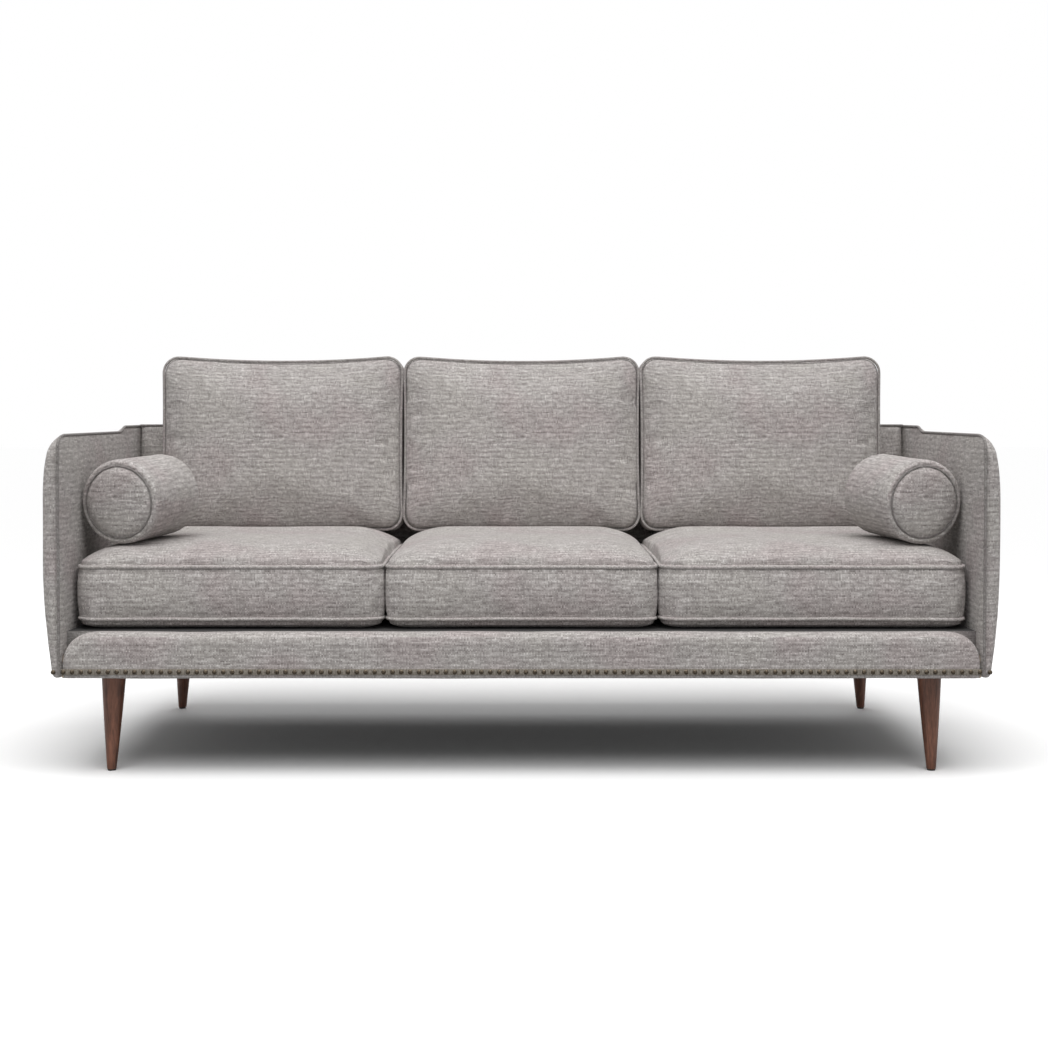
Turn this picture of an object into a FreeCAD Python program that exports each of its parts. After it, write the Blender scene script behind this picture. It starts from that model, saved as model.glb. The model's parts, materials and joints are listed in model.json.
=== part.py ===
import FreeCAD, Part
import Sketcher
import math
import os
import re
from FreeCAD import Rotation, Vector

# Three-seater sofa with slim rounded arms, three boxed seat cushions, three loose back cushions and
# two bolsters on a timber frame with turned legs. Millimetres; X to the right as seen from the front,
# Y to the back, Z up; the origin lies on the floor under the middle of the sofa.

SIZES = {
    # the whole sofa
    "sofa_width": 1992,
    "sofa_depth": 860,
    "leg_height": 206,
    "deck_height": 300,
    "arm_height": 711,
    "back_height": 726,
    "fit_gap": 0.3,
    # timber base
    "rail_thickness": 28,
    "rail_height": 81,
    "cross_rail_height": 55,
    "cross_rail_place": 314,
    "block_leg": 88,
    "block_drop": 4,
    "dust_cover_thickness": 1,
    # arms
    "arm_swell": 42,
    "arm_foot_draw": 20,
    "arm_edge_width": 7,
    "arm_edge_round": 28,
    "arm_rear_round": 18,
    "arm_belly_drop": 129,
    "arm_belly_length": 131,
    "arm_shoulder_drop": 50,
    "arm_shoulder_draw": 7,
    "arm_crest_radius": 60,
    "arm_crest_edge": 3,
    "arm_front_drop": 4,
    "arm_step_start": 515,
    "arm_step_length": 50,
    "arm_step_rise": 13,
    "arm_panel_thickness": 12,
    "arm_skin": 1.5,
    "arm_panel_corner": 26,
    # front border
    "border_thickness": 14,
    "border_lip": 10,
    "border_corner": 62,
    "border_edge_round": 6,
    # back
    "back_depth": 195,
    "back_lean": 5.4,
    "back_pad_thickness": 30,
    "back_top_pad": 10,
    "back_cloth_thickness": 6,
    "back_edge_round": 9,
    "back_rail_height": 70,
    # webbing and deck
    "webbing_thickness": 1.8,
    "webbing_width": 70,
    "webbing_weave": 1.1,
    "webbing_flat_margin": 6,
    "straps_per_bay": 3,
    "cross_straps": 4,
    "deck_thickness": 8,
    # legs
    "leg_side_inset": 134,
    "leg_splay": 6,
    "leg_inset": 76,
    "leg_top_diameter": 51,
    "leg_foot_diameter": 20,
    "leg_edge_cut": 1.5,
    "glide_thickness": 3,
    "glide_diameter": 17,
    "plate_size": 60,
    "plate_thickness": 2.5,
    "leg_bolt_diameter": 8,
    "leg_bolt_depth": 32,
    "leg_bolt_reach": 30,
    "bolt_clearance": 0.1,
    # arm bolts
    "arm_bolt_diameter": 8,
    "arm_bolt_block_clearance": 50,
    "arm_bolt_head": 13,
    "arm_bolt_head_height": 5.5,
    # seat cushions
    "seat_middle_width": 577,
    "seat_arm_clearance": 13.2,
    "seat_gap": 1,
    "seat_set_back": 54,
    "seat_rear_clearance": 3,
    "seat_belly_rise": 22,
    "seat_boxing": 110,
    "seat_crown": 48,
    "seat_crown_reach": 120,
    "seat_belly_reach": 84,
    "seat_corner": 34,
    "seat_side_draw": 4,
    "seat_foam_thickness": 120,
    "seat_foam_margin": 34,
    "foam_corner": 20,
    "foam_clearance": 3,
    "boxing_puff": 2.5,
    # back cushions
    "back_cushion_middle_width": 571,
    "back_cushion_arm_clearance": 81.2,
    "back_cushion_gap": 4,
    "back_cushion_height": 421,
    "back_cushion_boxing": 96,
    "back_cushion_crown": 42,
    "back_cushion_flat": 201,
    "back_cushion_rear_crown": 10,
    "back_cushion_corner": 36,
    "back_cushion_top_draw": 7,
    "back_cushion_side_draw": 5,
    "back_cushion_foot_draw": 1.5,
    "back_foam_thickness": 90,
    "back_foam_margin": 40,
    # bolsters
    "bolster_diameter": 178,
    "bolster_length": 250,
    "bolster_rim": 20,
    "bolster_cap_crown": 8,
    "bolster_turn": 11,
    "bolster_arm_clearance": 96.7,
    "bolster_set_back": 88,
    "bolster_core_diameter": 130,
    "bolster_core_length": 200,
}

# Places worked out from the driving sizes.
PLACES = {
    "half_width": "sofa_width/2",
    "front": "-sofa_depth/2",
    "back": "sofa_depth/2",
    "arm_inner": "half_width - arm_swell",
    "clear_half": "arm_inner - fit_gap",
    "rail_bottom": "leg_height + dust_cover_thickness",
    "rail_top": "rail_bottom + rail_height",
    "rail_front": "front + border_thickness",
    "side_front": "rail_front + rail_thickness",
    "rail_back": "back - back_cloth_thickness",
    "side_back": "rail_back - rail_thickness",
    "side_inner": "arm_inner - rail_thickness",
    "arm_bolt_pitch": "-side_front - block_leg - arm_bolt_block_clearance",
    "cross_inner": "cross_rail_place - rail_thickness/2",
    "cross_outer": "cross_rail_place + rail_thickness/2",
    "strap_middle": "rail_top + webbing_thickness/2 + 0.1",
    "deck_bottom": "deck_height - deck_thickness",
    "arm_rear_height": "arm_height + arm_step_rise",
    "arm_shoulder_height": "arm_height - arm_shoulder_drop",
    "arm_belly_high": "arm_height - arm_belly_drop",
    "arm_belly_low": "arm_belly_high - arm_belly_length",
    "back_face": "back - back_depth",
    "lean_slope": "tan(back_lean*1deg)",
    "post_top": "back_height - back_top_pad",
    "back_frame_face": "back_face + back_pad_thickness",
    "leg_place": "half_width - leg_side_inset",
    "leg_y": "sofa_depth/2 - leg_inset",
    "seat_front": "front + seat_set_back",
    "seat_length": "back_face - seat_rear_clearance - seat_front",
    "seat_outer_width": "clear_half - seat_arm_clearance - seat_gap - seat_middle_width/2",
    "seat_middle_y": "seat_front + seat_length/2",
    "seat_bottom": "deck_height + fit_gap",
    "seat_low_welt": "seat_bottom + seat_belly_rise",
    "seat_high_welt": "seat_low_welt + seat_boxing",
    "seat_top": "seat_high_welt + seat_crown",
    "seat_outer_middle": "seat_middle_width/2 + seat_gap + seat_outer_width/2",
    "back_cushion_outer_width":
        "clear_half - back_cushion_arm_clearance - back_cushion_gap - back_cushion_middle_width/2",
    "back_cushion_reach": "(back_cushion_height - back_cushion_flat)/2",
    "bolster_place": "clear_half - bolster_arm_clearance",
    "back_cushion_outer_middle":
        "back_cushion_middle_width/2 + back_cushion_gap + back_cushion_outer_width/2",
    "back_cushion_foot":
        "seat_top + fit_gap - back_cushion_foot_draw"
        " - (back_cushion_rear_crown + back_cushion_boxing)*sin(back_lean*1deg)",
}

doc = FreeCAD.newDocument("Sofa")
sheet = doc.addObject("Spreadsheet::Sheet", "Sizes")
for row, (alias, number) in enumerate(SIZES.items(), start=1):
    sheet.set(f"A{row}", alias)
    sheet.set(f"B{row}", str(number))
    sheet.setAlias(f"B{row}", alias)
doc.recompute()

parts = []


def formula(text):
    """Write a formula of size and place names as an expression on the sheet."""
    def swap(match):
        word = match.group(0)
        if word in PLACES:
            return "(" + formula(PLACES[word]) + ")"
        if word in SIZES:
            return "Sizes." + word
        return word
    return re.sub(r"(?<![.\w])[a-z][a-z_]*", swap, str(text))


def value(text):
    """The number that a formula gives now."""
    return float(sheet.evalExpression(formula(text)))


def bind(thing, prop, text):
    thing.setExpression(prop, formula(text))


def part_object(kind, label):
    """A new sub-part of the sofa; its label names its file."""
    thing = doc.addObject(kind, label)
    thing.Label = label
    parts.append(thing)
    return thing


def origin_plane(body, role):
    return [f for f in body.Origin.OriginFeatures if f.Role == role][0]


def outline(body, name, plane, offset, corners, arcs):
    """A closed sketch through corners, each a pair of formulas; arcs maps a side to its radius and turn."""
    sketch = body.newObject("Sketcher::SketchObject", name)
    sketch.AttachmentSupport = (origin_plane(body, plane), "")
    sketch.MapMode = "FlatFace"
    bind(sketch, "AttachmentOffset.Base.z", offset)
    points = [Vector(value(x), value(y), 0) for x, y in corners]
    count = len(points)
    ends = []
    for side in range(count):
        start, end = points[side], points[(side + 1) % count]
        if side in arcs:
            radius, turn = value(arcs[side][0]), arcs[side][1]
            chord = end - start
            centre_off = math.sqrt(max(radius**2 - (chord.Length/2)**2, 0))
            centre = start + chord*0.5 + Vector(-chord.y, chord.x, 0).normalize()*(centre_off*turn)
            first, last = (start, end) if turn > 0 else (end, start)
            angles = [math.atan2(point.y - centre.y, point.x - centre.x) for point in (first, last)]
            ring = Part.Circle(centre, Vector(0, 0, 1), radius)
            sketch.addGeometry(Part.ArcOfCircle(ring, angles[0], angles[1]))
            ends.append((1, 2) if turn > 0 else (2, 1))
        else:
            sketch.addGeometry(Part.LineSegment(start, end))
            ends.append((1, 2))
    for side in range(count):
        after = (side + 1) % count
        sketch.addConstraint(Sketcher.Constraint("Coincident", side, ends[side][1], after, ends[after][0]))
    for side, (x, y) in enumerate(corners):
        for kind, text, place in (("DistanceX", x, points[side].x), ("DistanceY", y, points[side].y)):
            number = sketch.addConstraint(Sketcher.Constraint(kind, -1, 1, side, ends[side][0], place))
            label = f"{kind[-1].lower()}_{side}"
            sketch.renameConstraint(number, label)
            bind(sketch, "Constraints." + label, text)
        if side in arcs:
            number = sketch.addConstraint(Sketcher.Constraint("Radius", side, value(arcs[side][0])))
            sketch.renameConstraint(number, f"radius_{side}")
            bind(sketch, f"Constraints.radius_{side}", arcs[side][0])
    return sketch


def rectangle(low_x, low_y, high_x, high_y):
    return [(low_x, low_y), (high_x, low_y), (high_x, high_y), (low_x, high_y)]


def pad(body, sketch, length, reverse=False):
    feature = body.newObject("PartDesign::Pad", sketch.Name + "_pad")
    feature.Profile = sketch
    feature.Reversed = reverse
    bind(feature, "Length", length)
    return feature


def pocket(body, sketch, length, reverse=False):
    feature = body.newObject("PartDesign::Pocket", sketch.Name + "_cut")
    feature.Profile = sketch
    feature.Reversed = reverse
    bind(feature, "Length", length)
    return feature


def loft(body, sketches):
    feature = body.newObject("PartDesign::AdditiveLoft", sketches[0].Name + "_loft")
    feature.Profile = sketches[0]
    feature.Sections = [(sketch, [""]) for sketch in sketches[1:]]
    feature.Ruled = True
    return feature


def board(label, low, high):
    """A plain sawn board between two corners, each three formulas."""
    box = part_object("Part::Box", label)
    for prop, a, b in zip(("Length", "Width", "Height"), low, high):
        bind(box, prop, f"({b}) - ({a})")
    for axis, a in zip("xyz", low):
        bind(box, "Placement.Base." + axis, a)
    return box


def box_shape(low, high):
    """The same board as a bare shape, for groups and for cutting."""
    low = [value(a) for a in low]
    high = [value(b) for b in high]
    return Part.makeBox(*[b - a for a, b in zip(low, high)], Vector(*low))


def rod(radius, start, end):
    """A round rod of a radius between two points in numbers."""
    run = Vector(*end) - Vector(*start)
    return Part.makeCylinder(radius, run.Length, Vector(*start), run)


def prism(points, run):
    """A flat polygon of points swept along a straight run."""
    points = [Vector(*point) for point in points]
    return Part.Face(Part.makePolygon(points + points[:1])).extrude(Vector(*run))


def flat_faced(rings):
    """A closed solid of flat faces through rings of points; every ring has as many points."""
    faces = [Part.Face(Part.makePolygon(ring + ring[:1])) for ring in (rings[0], rings[-1])]
    for low, high in zip(rings, rings[1:]):
        for corners in zip(low, low[1:] + low[:1], high[1:] + high[:1], high):
            faces.append(Part.Face(Part.makePolygon(list(corners) + [corners[0]])))
    shell = Part.makeShell(faces)
    shell.sewShape()
    solid = Part.Solid(shell)
    return solid if solid.Volume > 0 else solid.reversed()


def group(label, shapes):
    """Separate solids that are one kind of piece."""
    feature = part_object("Part::Feature", label)
    feature.Shape = Part.Compound(shapes) if len(shapes) > 1 else shapes[0]
    return feature


# Every leg stands at one corner; the same four corners carry blocks, plates, bolts and glides.
CORNERS = [("front_left", -1, -1), ("front_right", 1, -1), ("rear_left", -1, 1), ("rear_right", 1, 1)]
SIDES = [("left", -1), ("right", 1)]

# Timber base: a front rail with rounded upper corners, a rear rail, two side rails and two low
# cross rails, all standing on one level.
front_rail = part_object("PartDesign::Body", "front_rail")
rail_corner = "border_corner - border_lip"
rail_shape = outline(
    front_rail, "front_rail_outline", "XZ_Plane", "-rail_front",
    [("-clear_half", "rail_bottom"),
     ("clear_half", "rail_bottom"),
     ("clear_half", f"rail_top - ({rail_corner})"),
     (f"clear_half - ({rail_corner})", "rail_top"),
     (f"-clear_half + ({rail_corner})", "rail_top"),
     ("-clear_half", f"rail_top - ({rail_corner})")],
    {2: (rail_corner, 1), 4: (rail_corner, 1)})
pad(front_rail, rail_shape, "rail_thickness", reverse=True)

board("rear_rail", ("-clear_half", "side_back", "rail_bottom"), ("clear_half", "rail_back", "rail_top"))

bolt_height = "rail_bottom + rail_height/2"
bolt_hole = "arm_bolt_diameter/2 + bolt_clearance"


def bolt_places():
    return [value("arm_bolt_pitch")*step for step in (-1, 0, 1)]


def bolt_holes(side, start, end):
    """Rods along X at every arm bolt, for drilling."""
    height = value(bolt_height)
    return [rod(value(bolt_hole), (side*start, y, height), (side*end, y, height)) for y in bolt_places()]


def drilled(label, solid, holes):
    """A timber with its holes drilled."""
    feature = part_object("Part::Feature", label)
    feature.Shape = solid.cut(Part.Compound(holes))
    return feature


for name, side in SIDES:
    inner, outer = value("side_inner"), value("arm_inner")
    low, high = sorted((side*inner, side*outer))
    rail = box_shape((low, "side_front", "rail_bottom"), (high, "side_back", "rail_top"))
    drilled("side_rail_" + name, rail, bolt_holes(side, inner - 1, outer + 1))
    low, high = (("cross_inner", "cross_outer") if side > 0 else ("-(cross_outer)", "-(cross_inner)"))
    board("cross_rail_" + name,
          (low, "side_front", "rail_bottom"), (high, "side_back", "rail_bottom + cross_rail_height"))

# Corner blocks: three-sided timber blocks glued into the corners of the base, drilled for the legs.
plate_top = "leg_height + plate_thickness"
hole_radius = value("leg_bolt_diameter/2 + bolt_clearance")


def leg_axis(side, end):
    """The leg bolt's upright axis at a corner."""
    return side*value("leg_place"), end*value("leg_y")


blocks = []
for _, side, end in CORNERS:
    x = side*value("side_inner")
    y = value("side_front") if end < 0 else value("side_back")
    leg = value("block_leg")
    low = value(plate_top)
    triangle = [(x, y, low), (x - side*leg*1.15, y, low), (x, y - end*leg*1.15, low)]
    bolt_x, bolt_y = leg_axis(side, end)
    hole = rod(hole_radius, (bolt_x, bolt_y, low - 1), (bolt_x, bolt_y, value("rail_top")))
    blocks.append(prism(triangle, (0, 0, value("rail_top - block_drop") - low)).cut(hole))
group("corner_blocks", blocks)

# Leg plates: pressed steel squares let into the dust cover under each corner block.
PLATE_CLIP = 6
plates = []
for _, side, end in CORNERS:
    bolt_x, bolt_y = leg_axis(side, end)
    half = value("plate_size/2")
    low = Vector(bolt_x - half, bolt_y - half, value("leg_height"))
    plate = Part.makeBox(2*half, 2*half, value("plate_thickness"), low)
    upright = [edge for edge in plate.Edges if abs(edge.tangentAt(edge.FirstParameter).z) > 0.9]
    plate = plate.makeChamfer(PLATE_CLIP, upright)
    hole = rod(hole_radius, (bolt_x, bolt_y, low.z - 1), (bolt_x, bolt_y, 2*low.z))
    plates.append(plate.cut(hole))
group("leg_plates", plates)

# Legs: turned tapers of many narrow flats, splayed a little outwards, level at both ends and with a
# small cut round the foot; each has a blind hole for its hanger bolt.
LEG_FACE_COUNT = 32


def turned_ring(centre, radius, count, along_x=False):
    """Points round a level circle, or round a circle across the X axis."""
    ring = []
    for number in range(count):
        angle = 2*math.pi*number/count
        u, v = radius*math.cos(angle), radius*math.sin(angle)
        ring.append(centre + (Vector(0, u, v) if along_x else Vector(u, v, 0)))
    return ring


for corner, side, end in CORNERS:
    bolt_x, bolt_y = leg_axis(side, end)
    bottom, top = value("glide_thickness"), value("leg_height")
    foot_radius, top_radius = value("leg_foot_diameter/2"), value("leg_top_diameter/2")
    edge = value("leg_edge_cut")
    steps = [(bottom, foot_radius - edge), (bottom + edge, foot_radius), (top, top_radius)]
    rings = []
    for level, radius in steps:
        splay = value("leg_splay")*(top - level)/(top - bottom)
        rings.append(turned_ring(Vector(bolt_x + side*splay, bolt_y, level), radius, LEG_FACE_COUNT))
    bore = rod(hole_radius, (bolt_x, bolt_y, top - value("leg_bolt_depth")), (bolt_x, bolt_y, top + 1))
    group("leg_" + corner, [flat_faced(rings).cut(bore)])

bolts = []
glides = []
for _, side, end in CORNERS:
    bolt_x, bolt_y = leg_axis(side, end)
    low, high = value("leg_height - leg_bolt_depth"), value("leg_height + leg_bolt_reach")
    bolts.append(rod(value("leg_bolt_diameter/2"), (bolt_x, bolt_y, low), (bolt_x, bolt_y, high)))
    foot_x = bolt_x + side*value("leg_splay")
    top = value("glide_thickness")
    glide = rod(value("glide_diameter/2"), (foot_x, bolt_y, 0), (foot_x, bolt_y, top))
    glides.append(glide)
group("leg_bolts", bolts)
group("leg_glides", glides)

# Dust cover: thin black cloth stapled under the base, cut out round the leg plates.
dust_cover = part_object("PartDesign::Body", "dust_cover")
cover_shape = outline(
    dust_cover, "dust_cover_outline", "XY_Plane", "leg_height",
    rectangle("-clear_half", "rail_front", "clear_half", "rail_back"), {})
pad(dust_cover, cover_shape, "dust_cover_thickness")
for corner, side, end in CORNERS:
    half = "(plate_size/2 + fit_gap)"
    middle_x, middle_y = f"({side})*leg_place", f"({end})*leg_y"
    window = outline(
        dust_cover, f"plate_window_{corner}", "XY_Plane", "leg_height",
        rectangle(f"{middle_x} - {half}", f"{middle_y} - {half}",
                  f"{middle_x} + {half}", f"{middle_y} + {half}"), {})
    pocket(dust_cover, window, "dust_cover_thickness", reverse=True)

# Seat suspension: flat elastic straps from front to back and from side to side, woven over and
# under each other where they cross, with their ends on the rails.
def strap(clear_start, clear_end, crossings, phase):
    """One strap as a ribbon seen from its edge: flat on the rails, rising and dipping at each crossing."""
    half = value("webbing_thickness")/2
    dip = value("webbing_weave")
    level = value("strap_middle")
    flat = value("webbing_width/2 + webbing_flat_margin")
    line = [(clear_start - strap_hold, 0.0), (clear_start, 0.0)]
    for number, place in enumerate(crossings):
        height = dip*(-1)**(number + phase)
        line += [(place - flat, height), (place + flat, height)]
    line += [(clear_end, 0.0), (clear_end + strap_hold, 0.0)]
    top = [(u, level + height + half) for u, height in line]
    bottom = [(u, level + height - half) for u, height in reversed(line)]
    return top + bottom


def even(start, end, count):
    """Middles of equal bays between two places."""
    bay = (end - start)/count
    return [start + bay*(number + 0.5) for number in range(count)]


def bays():
    """The three clear widths between the four upright boards of the back."""
    edges = [value(text) for text in (
        "-clear_half + rail_thickness", "-(cross_outer)", "-(cross_inner)",
        "cross_inner", "cross_outer", "clear_half - rail_thickness")]
    return list(zip(edges[0::2], edges[1::2]))


strap_half = value("webbing_width")/2
long_places = [x for low_x, high_x in bays() for x in even(low_x, high_x, round(value("straps_per_bay")))]
cross_places = even(value("side_front"), value("back_frame_face"), round(value("cross_straps")))
strap_hold = value("rail_thickness")*0.6
long_straps = []
for number, x in enumerate(long_places):
    ribbon = strap(value("side_front"), value("side_back"), cross_places, number)
    long_straps.append(prism([(x - strap_half, y, z) for y, z in ribbon], (2*strap_half, 0, 0)))
group("seat_webbing_long", long_straps)
cross_straps = []
for number, y in enumerate(cross_places):
    ribbon = strap(value("-side_inner"), value("side_inner"), long_places, number + 1)
    cross_straps.append(prism([(x, y - strap_half, z) for x, z in ribbon], (0, 2*strap_half, 0)))
group("seat_webbing_cross", cross_straps)

# Deck: a felt pad under platform cloth, which the seat cushions lie on.
board("seat_deck",
      ("-clear_half", "side_front + fit_gap", "deck_bottom"),
      ("clear_half", "back_frame_face - 3*fit_gap", "deck_height"))

# Front border: padded cloth over the front rail, with rounded upper corners and a soft upper edge.
border = part_object("PartDesign::Body", "front_border")


def border_outline(name, offset, draw):
    """The front view of the border, drawn in a little towards its front edge."""
    reach = f"(clear_half - ({draw}))"
    top = f"(deck_height - ({draw}))"
    return outline(
        border, name, "XZ_Plane", offset,
        [(f"-{reach}", "leg_height"),
         (reach, "leg_height"),
         (reach, f"{top} - border_corner"),
         (f"{reach} - border_corner", top),
         (f"-{reach} + border_corner", top),
         (f"-{reach}", f"{top} - border_corner")],
        {2: ("border_corner", 1), 4: ("border_corner", 1)})


face_steps = []
for number, angle in enumerate((0, 30, 60, 90)):
    turn = math.radians(angle)
    back_off = f"border_edge_round*{1 - math.sin(turn):.4f}"
    face_steps.append(border_outline(
        f"border_step_{number}", f"-(front + border_edge_round*{1 - math.cos(turn):.4f})", back_off))
face_steps.append(border_outline("border_rear", "-side_front", "0"))
loft(border, face_steps)
hollow_corner = "border_corner - border_lip"
hollow_top = "(deck_height - border_lip)"
hollow = outline(
    border, "border_hollow", "XZ_Plane", "-rail_front",
    [("-clear_half - 1", "leg_height - 1"),
     ("clear_half + 1", "leg_height - 1"),
     ("clear_half + 1", f"{hollow_top} - ({hollow_corner})"),
     (f"clear_half - ({hollow_corner})", hollow_top),
     (f"-clear_half + ({hollow_corner})", hollow_top),
     ("-clear_half - 1", f"{hollow_top} - ({hollow_corner})")],
    {2: (f"sqrt((({hollow_corner}) + 1)^2 + ({hollow_corner})^2)/sqrt(2)", 1),
     4: (f"sqrt((({hollow_corner}) + 1)^2 + ({hollow_corner})^2)/sqrt(2)", 1)})
pocket(border, hollow, "rail_thickness + 1", reverse=False)


# Arms: a plywood panel inside a padded skin. Seen from the front the inner face is flat, and the
# outer face swells from the foot, runs up and rolls over the top to the inner edge. The outer face
# also rolls round the front edge, and the top steps up a little before the back.
def mixed(edge, full, share):
    return f"(({edge}) + (({full}) - ({edge}))*{share:.4f})"


def arm_section(body, name, side, place, share, top):
    """The arm cut across at a place: share is 0 at the front edge and 1 where it is full."""
    edge = "arm_inner + arm_edge_width"
    foot = mixed("arm_inner + arm_edge_width*0.6", "half_width - arm_foot_draw", share)
    belly = mixed(edge, "half_width", share)
    shoulder = mixed(edge + " - 1", "half_width - arm_shoulder_draw", share)
    crest = "(arm_inner + arm_crest_edge)"
    crest_top = f"(({top}) - arm_front_drop*{1 - share:.3f})"
    low_rise = "(arm_belly_low - leg_height)"
    high_rise = "(arm_shoulder_height - arm_belly_high)"
    low_radius = f"({low_rise}^2 + ({belly} - {foot})^2)/(2*({belly} - {foot}))"
    high_radius = f"({high_rise}^2 + ({belly} - {shoulder})^2)/(2*({belly} - {shoulder}))"
    crest_radius = mixed("arm_crest_radius*2.4", "arm_crest_radius", share)
    across = [("arm_inner", "leg_height"), (foot, "leg_height"), (belly, "arm_belly_low"),
              (belly, "arm_belly_high"), (shoulder, "arm_shoulder_height"), (crest, crest_top),
              ("arm_inner", f"{crest_top} - arm_crest_edge")]
    corners = [(f"({side})*({x})", z) for x, z in across]
    arcs = {1: (low_radius, side), 3: (high_radius, side), 4: (crest_radius, side), 5: ("arm_crest_edge", side)}
    return outline(body, name, "XZ_Plane", f"-({place})", corners, arcs)


def arm_stations():
    """Where the arm is cut along its depth, with the share of its swell and its top there."""
    stations = []
    for angle in (0, 30, 60, 90):
        turn = math.radians(angle)
        place = f"front + arm_edge_round*{1 - math.cos(turn):.4f}"
        stations.append((place, math.sin(turn), "arm_height"))
    for part in (0, 0.35, 0.65, 1):
        climb = (1 - math.cos(math.pi*part))/2
        place = f"front + arm_step_start + arm_step_length*{part}"
        stations.append((place, 1, f"arm_height + arm_step_rise*{climb:.4f}"))
    for angle in (90, 55, 20):
        turn = math.radians(angle)
        place = f"back - arm_rear_round*{1 - math.cos(turn) if angle < 90 else 1:.4f}"
        stations.append((place, 0.45 + 0.55*math.sin(turn), "arm_rear_height"))
    return stations


for name, side in SIDES:
    arm = part_object("PartDesign::Body", "arm_" + name)
    cuts = []
    for number, (place, share, top) in enumerate(arm_stations()):
        cuts.append(arm_section(arm, f"arm_{name}_section_{number}", side, place, share, top))
    loft(arm, cuts)
    inner = "(arm_inner + arm_skin - fit_gap)"
    outer = "(arm_inner + arm_skin + arm_panel_thickness + fit_gap)"
    low, high = (inner, outer) if side > 0 else (f"-{outer}", f"-{inner}")
    slot = outline(
        arm, f"arm_{name}_slot", "XY_Plane", "leg_height",
        rectangle(low, "front + arm_edge_round - fit_gap", high, "back - arm_rear_round + fit_gap"), {})
    pocket(arm, slot, "arm_height - arm_edge_round - leg_height + fit_gap", reverse=True)
    for number, step in enumerate((-1, 0, 1)):
        bore = arm.newObject("PartDesign::SubtractiveCylinder", f"arm_{name}_bolt_hole_{number}")
        bore.Placement.Rotation = Rotation(Vector(0, 1, 0), 90)
        bind(bore, "Radius", bolt_hole)
        bind(bore, "Height", "arm_skin + 2")
        start = "arm_inner - 1" if side > 0 else "-(arm_inner + arm_skin + 1)"
        bind(bore, "Placement.Base.x", start)
        bind(bore, "Placement.Base.y", f"arm_bolt_pitch*({step})")
        bind(bore, "Placement.Base.z", bolt_height)

    inner, outer = value("arm_inner + arm_skin"), value("arm_inner + arm_skin + arm_panel_thickness")
    low, high = sorted((side*inner, side*outer))
    panel = box_shape((low, "front + arm_edge_round", "leg_height"),
                      (high, "back - arm_rear_round", "arm_height - arm_edge_round"))
    top_corners = [edge for edge in panel.Edges
                   if abs(edge.tangentAt(edge.FirstParameter).x) > 0.9
                   and edge.BoundBox.ZMin > value("arm_belly_high")]
    panel = panel.makeFillet(value("arm_panel_corner"), top_corners)
    drilled("arm_panel_" + name, panel, bolt_holes(side, inner - 1, outer + 1))

# Arm bolts: hexagon heads inside the base, shanks through the side rails into the arm panels.
arm_bolts = []
for _, side in SIDES:
    inner = value("side_inner")
    tip = value("arm_inner + arm_skin + arm_panel_thickness")
    height = value(bolt_height)
    head = value("arm_bolt_head_height")
    for y in bolt_places():
        shank = rod(value("arm_bolt_diameter/2"), (side*inner, y, height), (side*tip, y, height))
        reach = value("arm_bolt_head")/math.sqrt(3)
        turns = [math.radians(60*flat) for flat in range(6)]
        ring = [(side*inner, y + reach*math.cos(turn), height + reach*math.sin(turn)) for turn in turns]
        arm_bolts.append(shank.fuse(prism(ring, (-side*head, 0, 0))).removeSplitter())
group("arm_bolts", arm_bolts)


# Back frame: four upright boards with raked fronts, rails between them and upright straps.
def raked(height, off):
    """A point on the raked plane of the back frame, a distance off behind it."""
    return value("back_frame_face") + off + (height - value("deck_height"))*value("lean_slope"), height


post_shift = value("webbing_thickness")
post_foot = value("rail_bottom + cross_rail_height")
for name, low_x, notched in (
        ("left", "-clear_half", False), ("mid_left", "-(cross_outer)", True),
        ("mid_right", "cross_inner", True), ("right", "clear_half - rail_thickness", False)):
    low_x = value(low_x)
    rail_top, top = value("rail_top"), value("post_top - fit_gap")
    rear, notch = value("rail_back"), value("side_back")
    foot_y = raked(rail_top, post_shift)[0]
    profile = [raked(top, post_shift), (rear, top), (rear, rail_top)]
    if notched:
        profile += [(notch, rail_top), (notch, post_foot), (foot_y, post_foot)]
    profile.append((foot_y, rail_top))
    group("back_post_" + name,
          [prism([(low_x, y, z) for y, z in profile], (value("rail_thickness"), 0, 0))])


def back_rails(label, low_z, high_z, depth):
    """Three boards between the posts, their fronts on the raked plane."""
    profile = [raked(low_z, post_shift), raked(high_z, post_shift)]
    profile += [(y + depth, z) for y, z in reversed(profile)]
    group(label, [prism([(low_x, y, z) for y, z in profile], (high_x - low_x, 0, 0))
                  for low_x, high_x in bays()])


back_low = value("deck_height + 12")
back_high = value("post_top - fit_gap")
back_rails("back_lower_rails", back_low, back_low + value("back_rail_height"), value("rail_thickness"))
back_rails("back_top_rails", back_high - value("back_rail_height")/2, back_high, value("rail_thickness")*3)

back_straps = []
strap_ease = value("fit_gap")/2
for low_x, high_x in bays():
    for middle in even(low_x, high_x, round(value("straps_per_bay"))):
        profile = [raked(back_low, strap_ease), raked(back_high, strap_ease)]
        profile += [(y + post_shift - strap_ease, z) for y, z in reversed(profile)]
        back_straps.append(prism([(middle - strap_half, y, z) for y, z in profile], (2*strap_half, 0, 0)))
group("back_webbing", back_straps)

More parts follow.
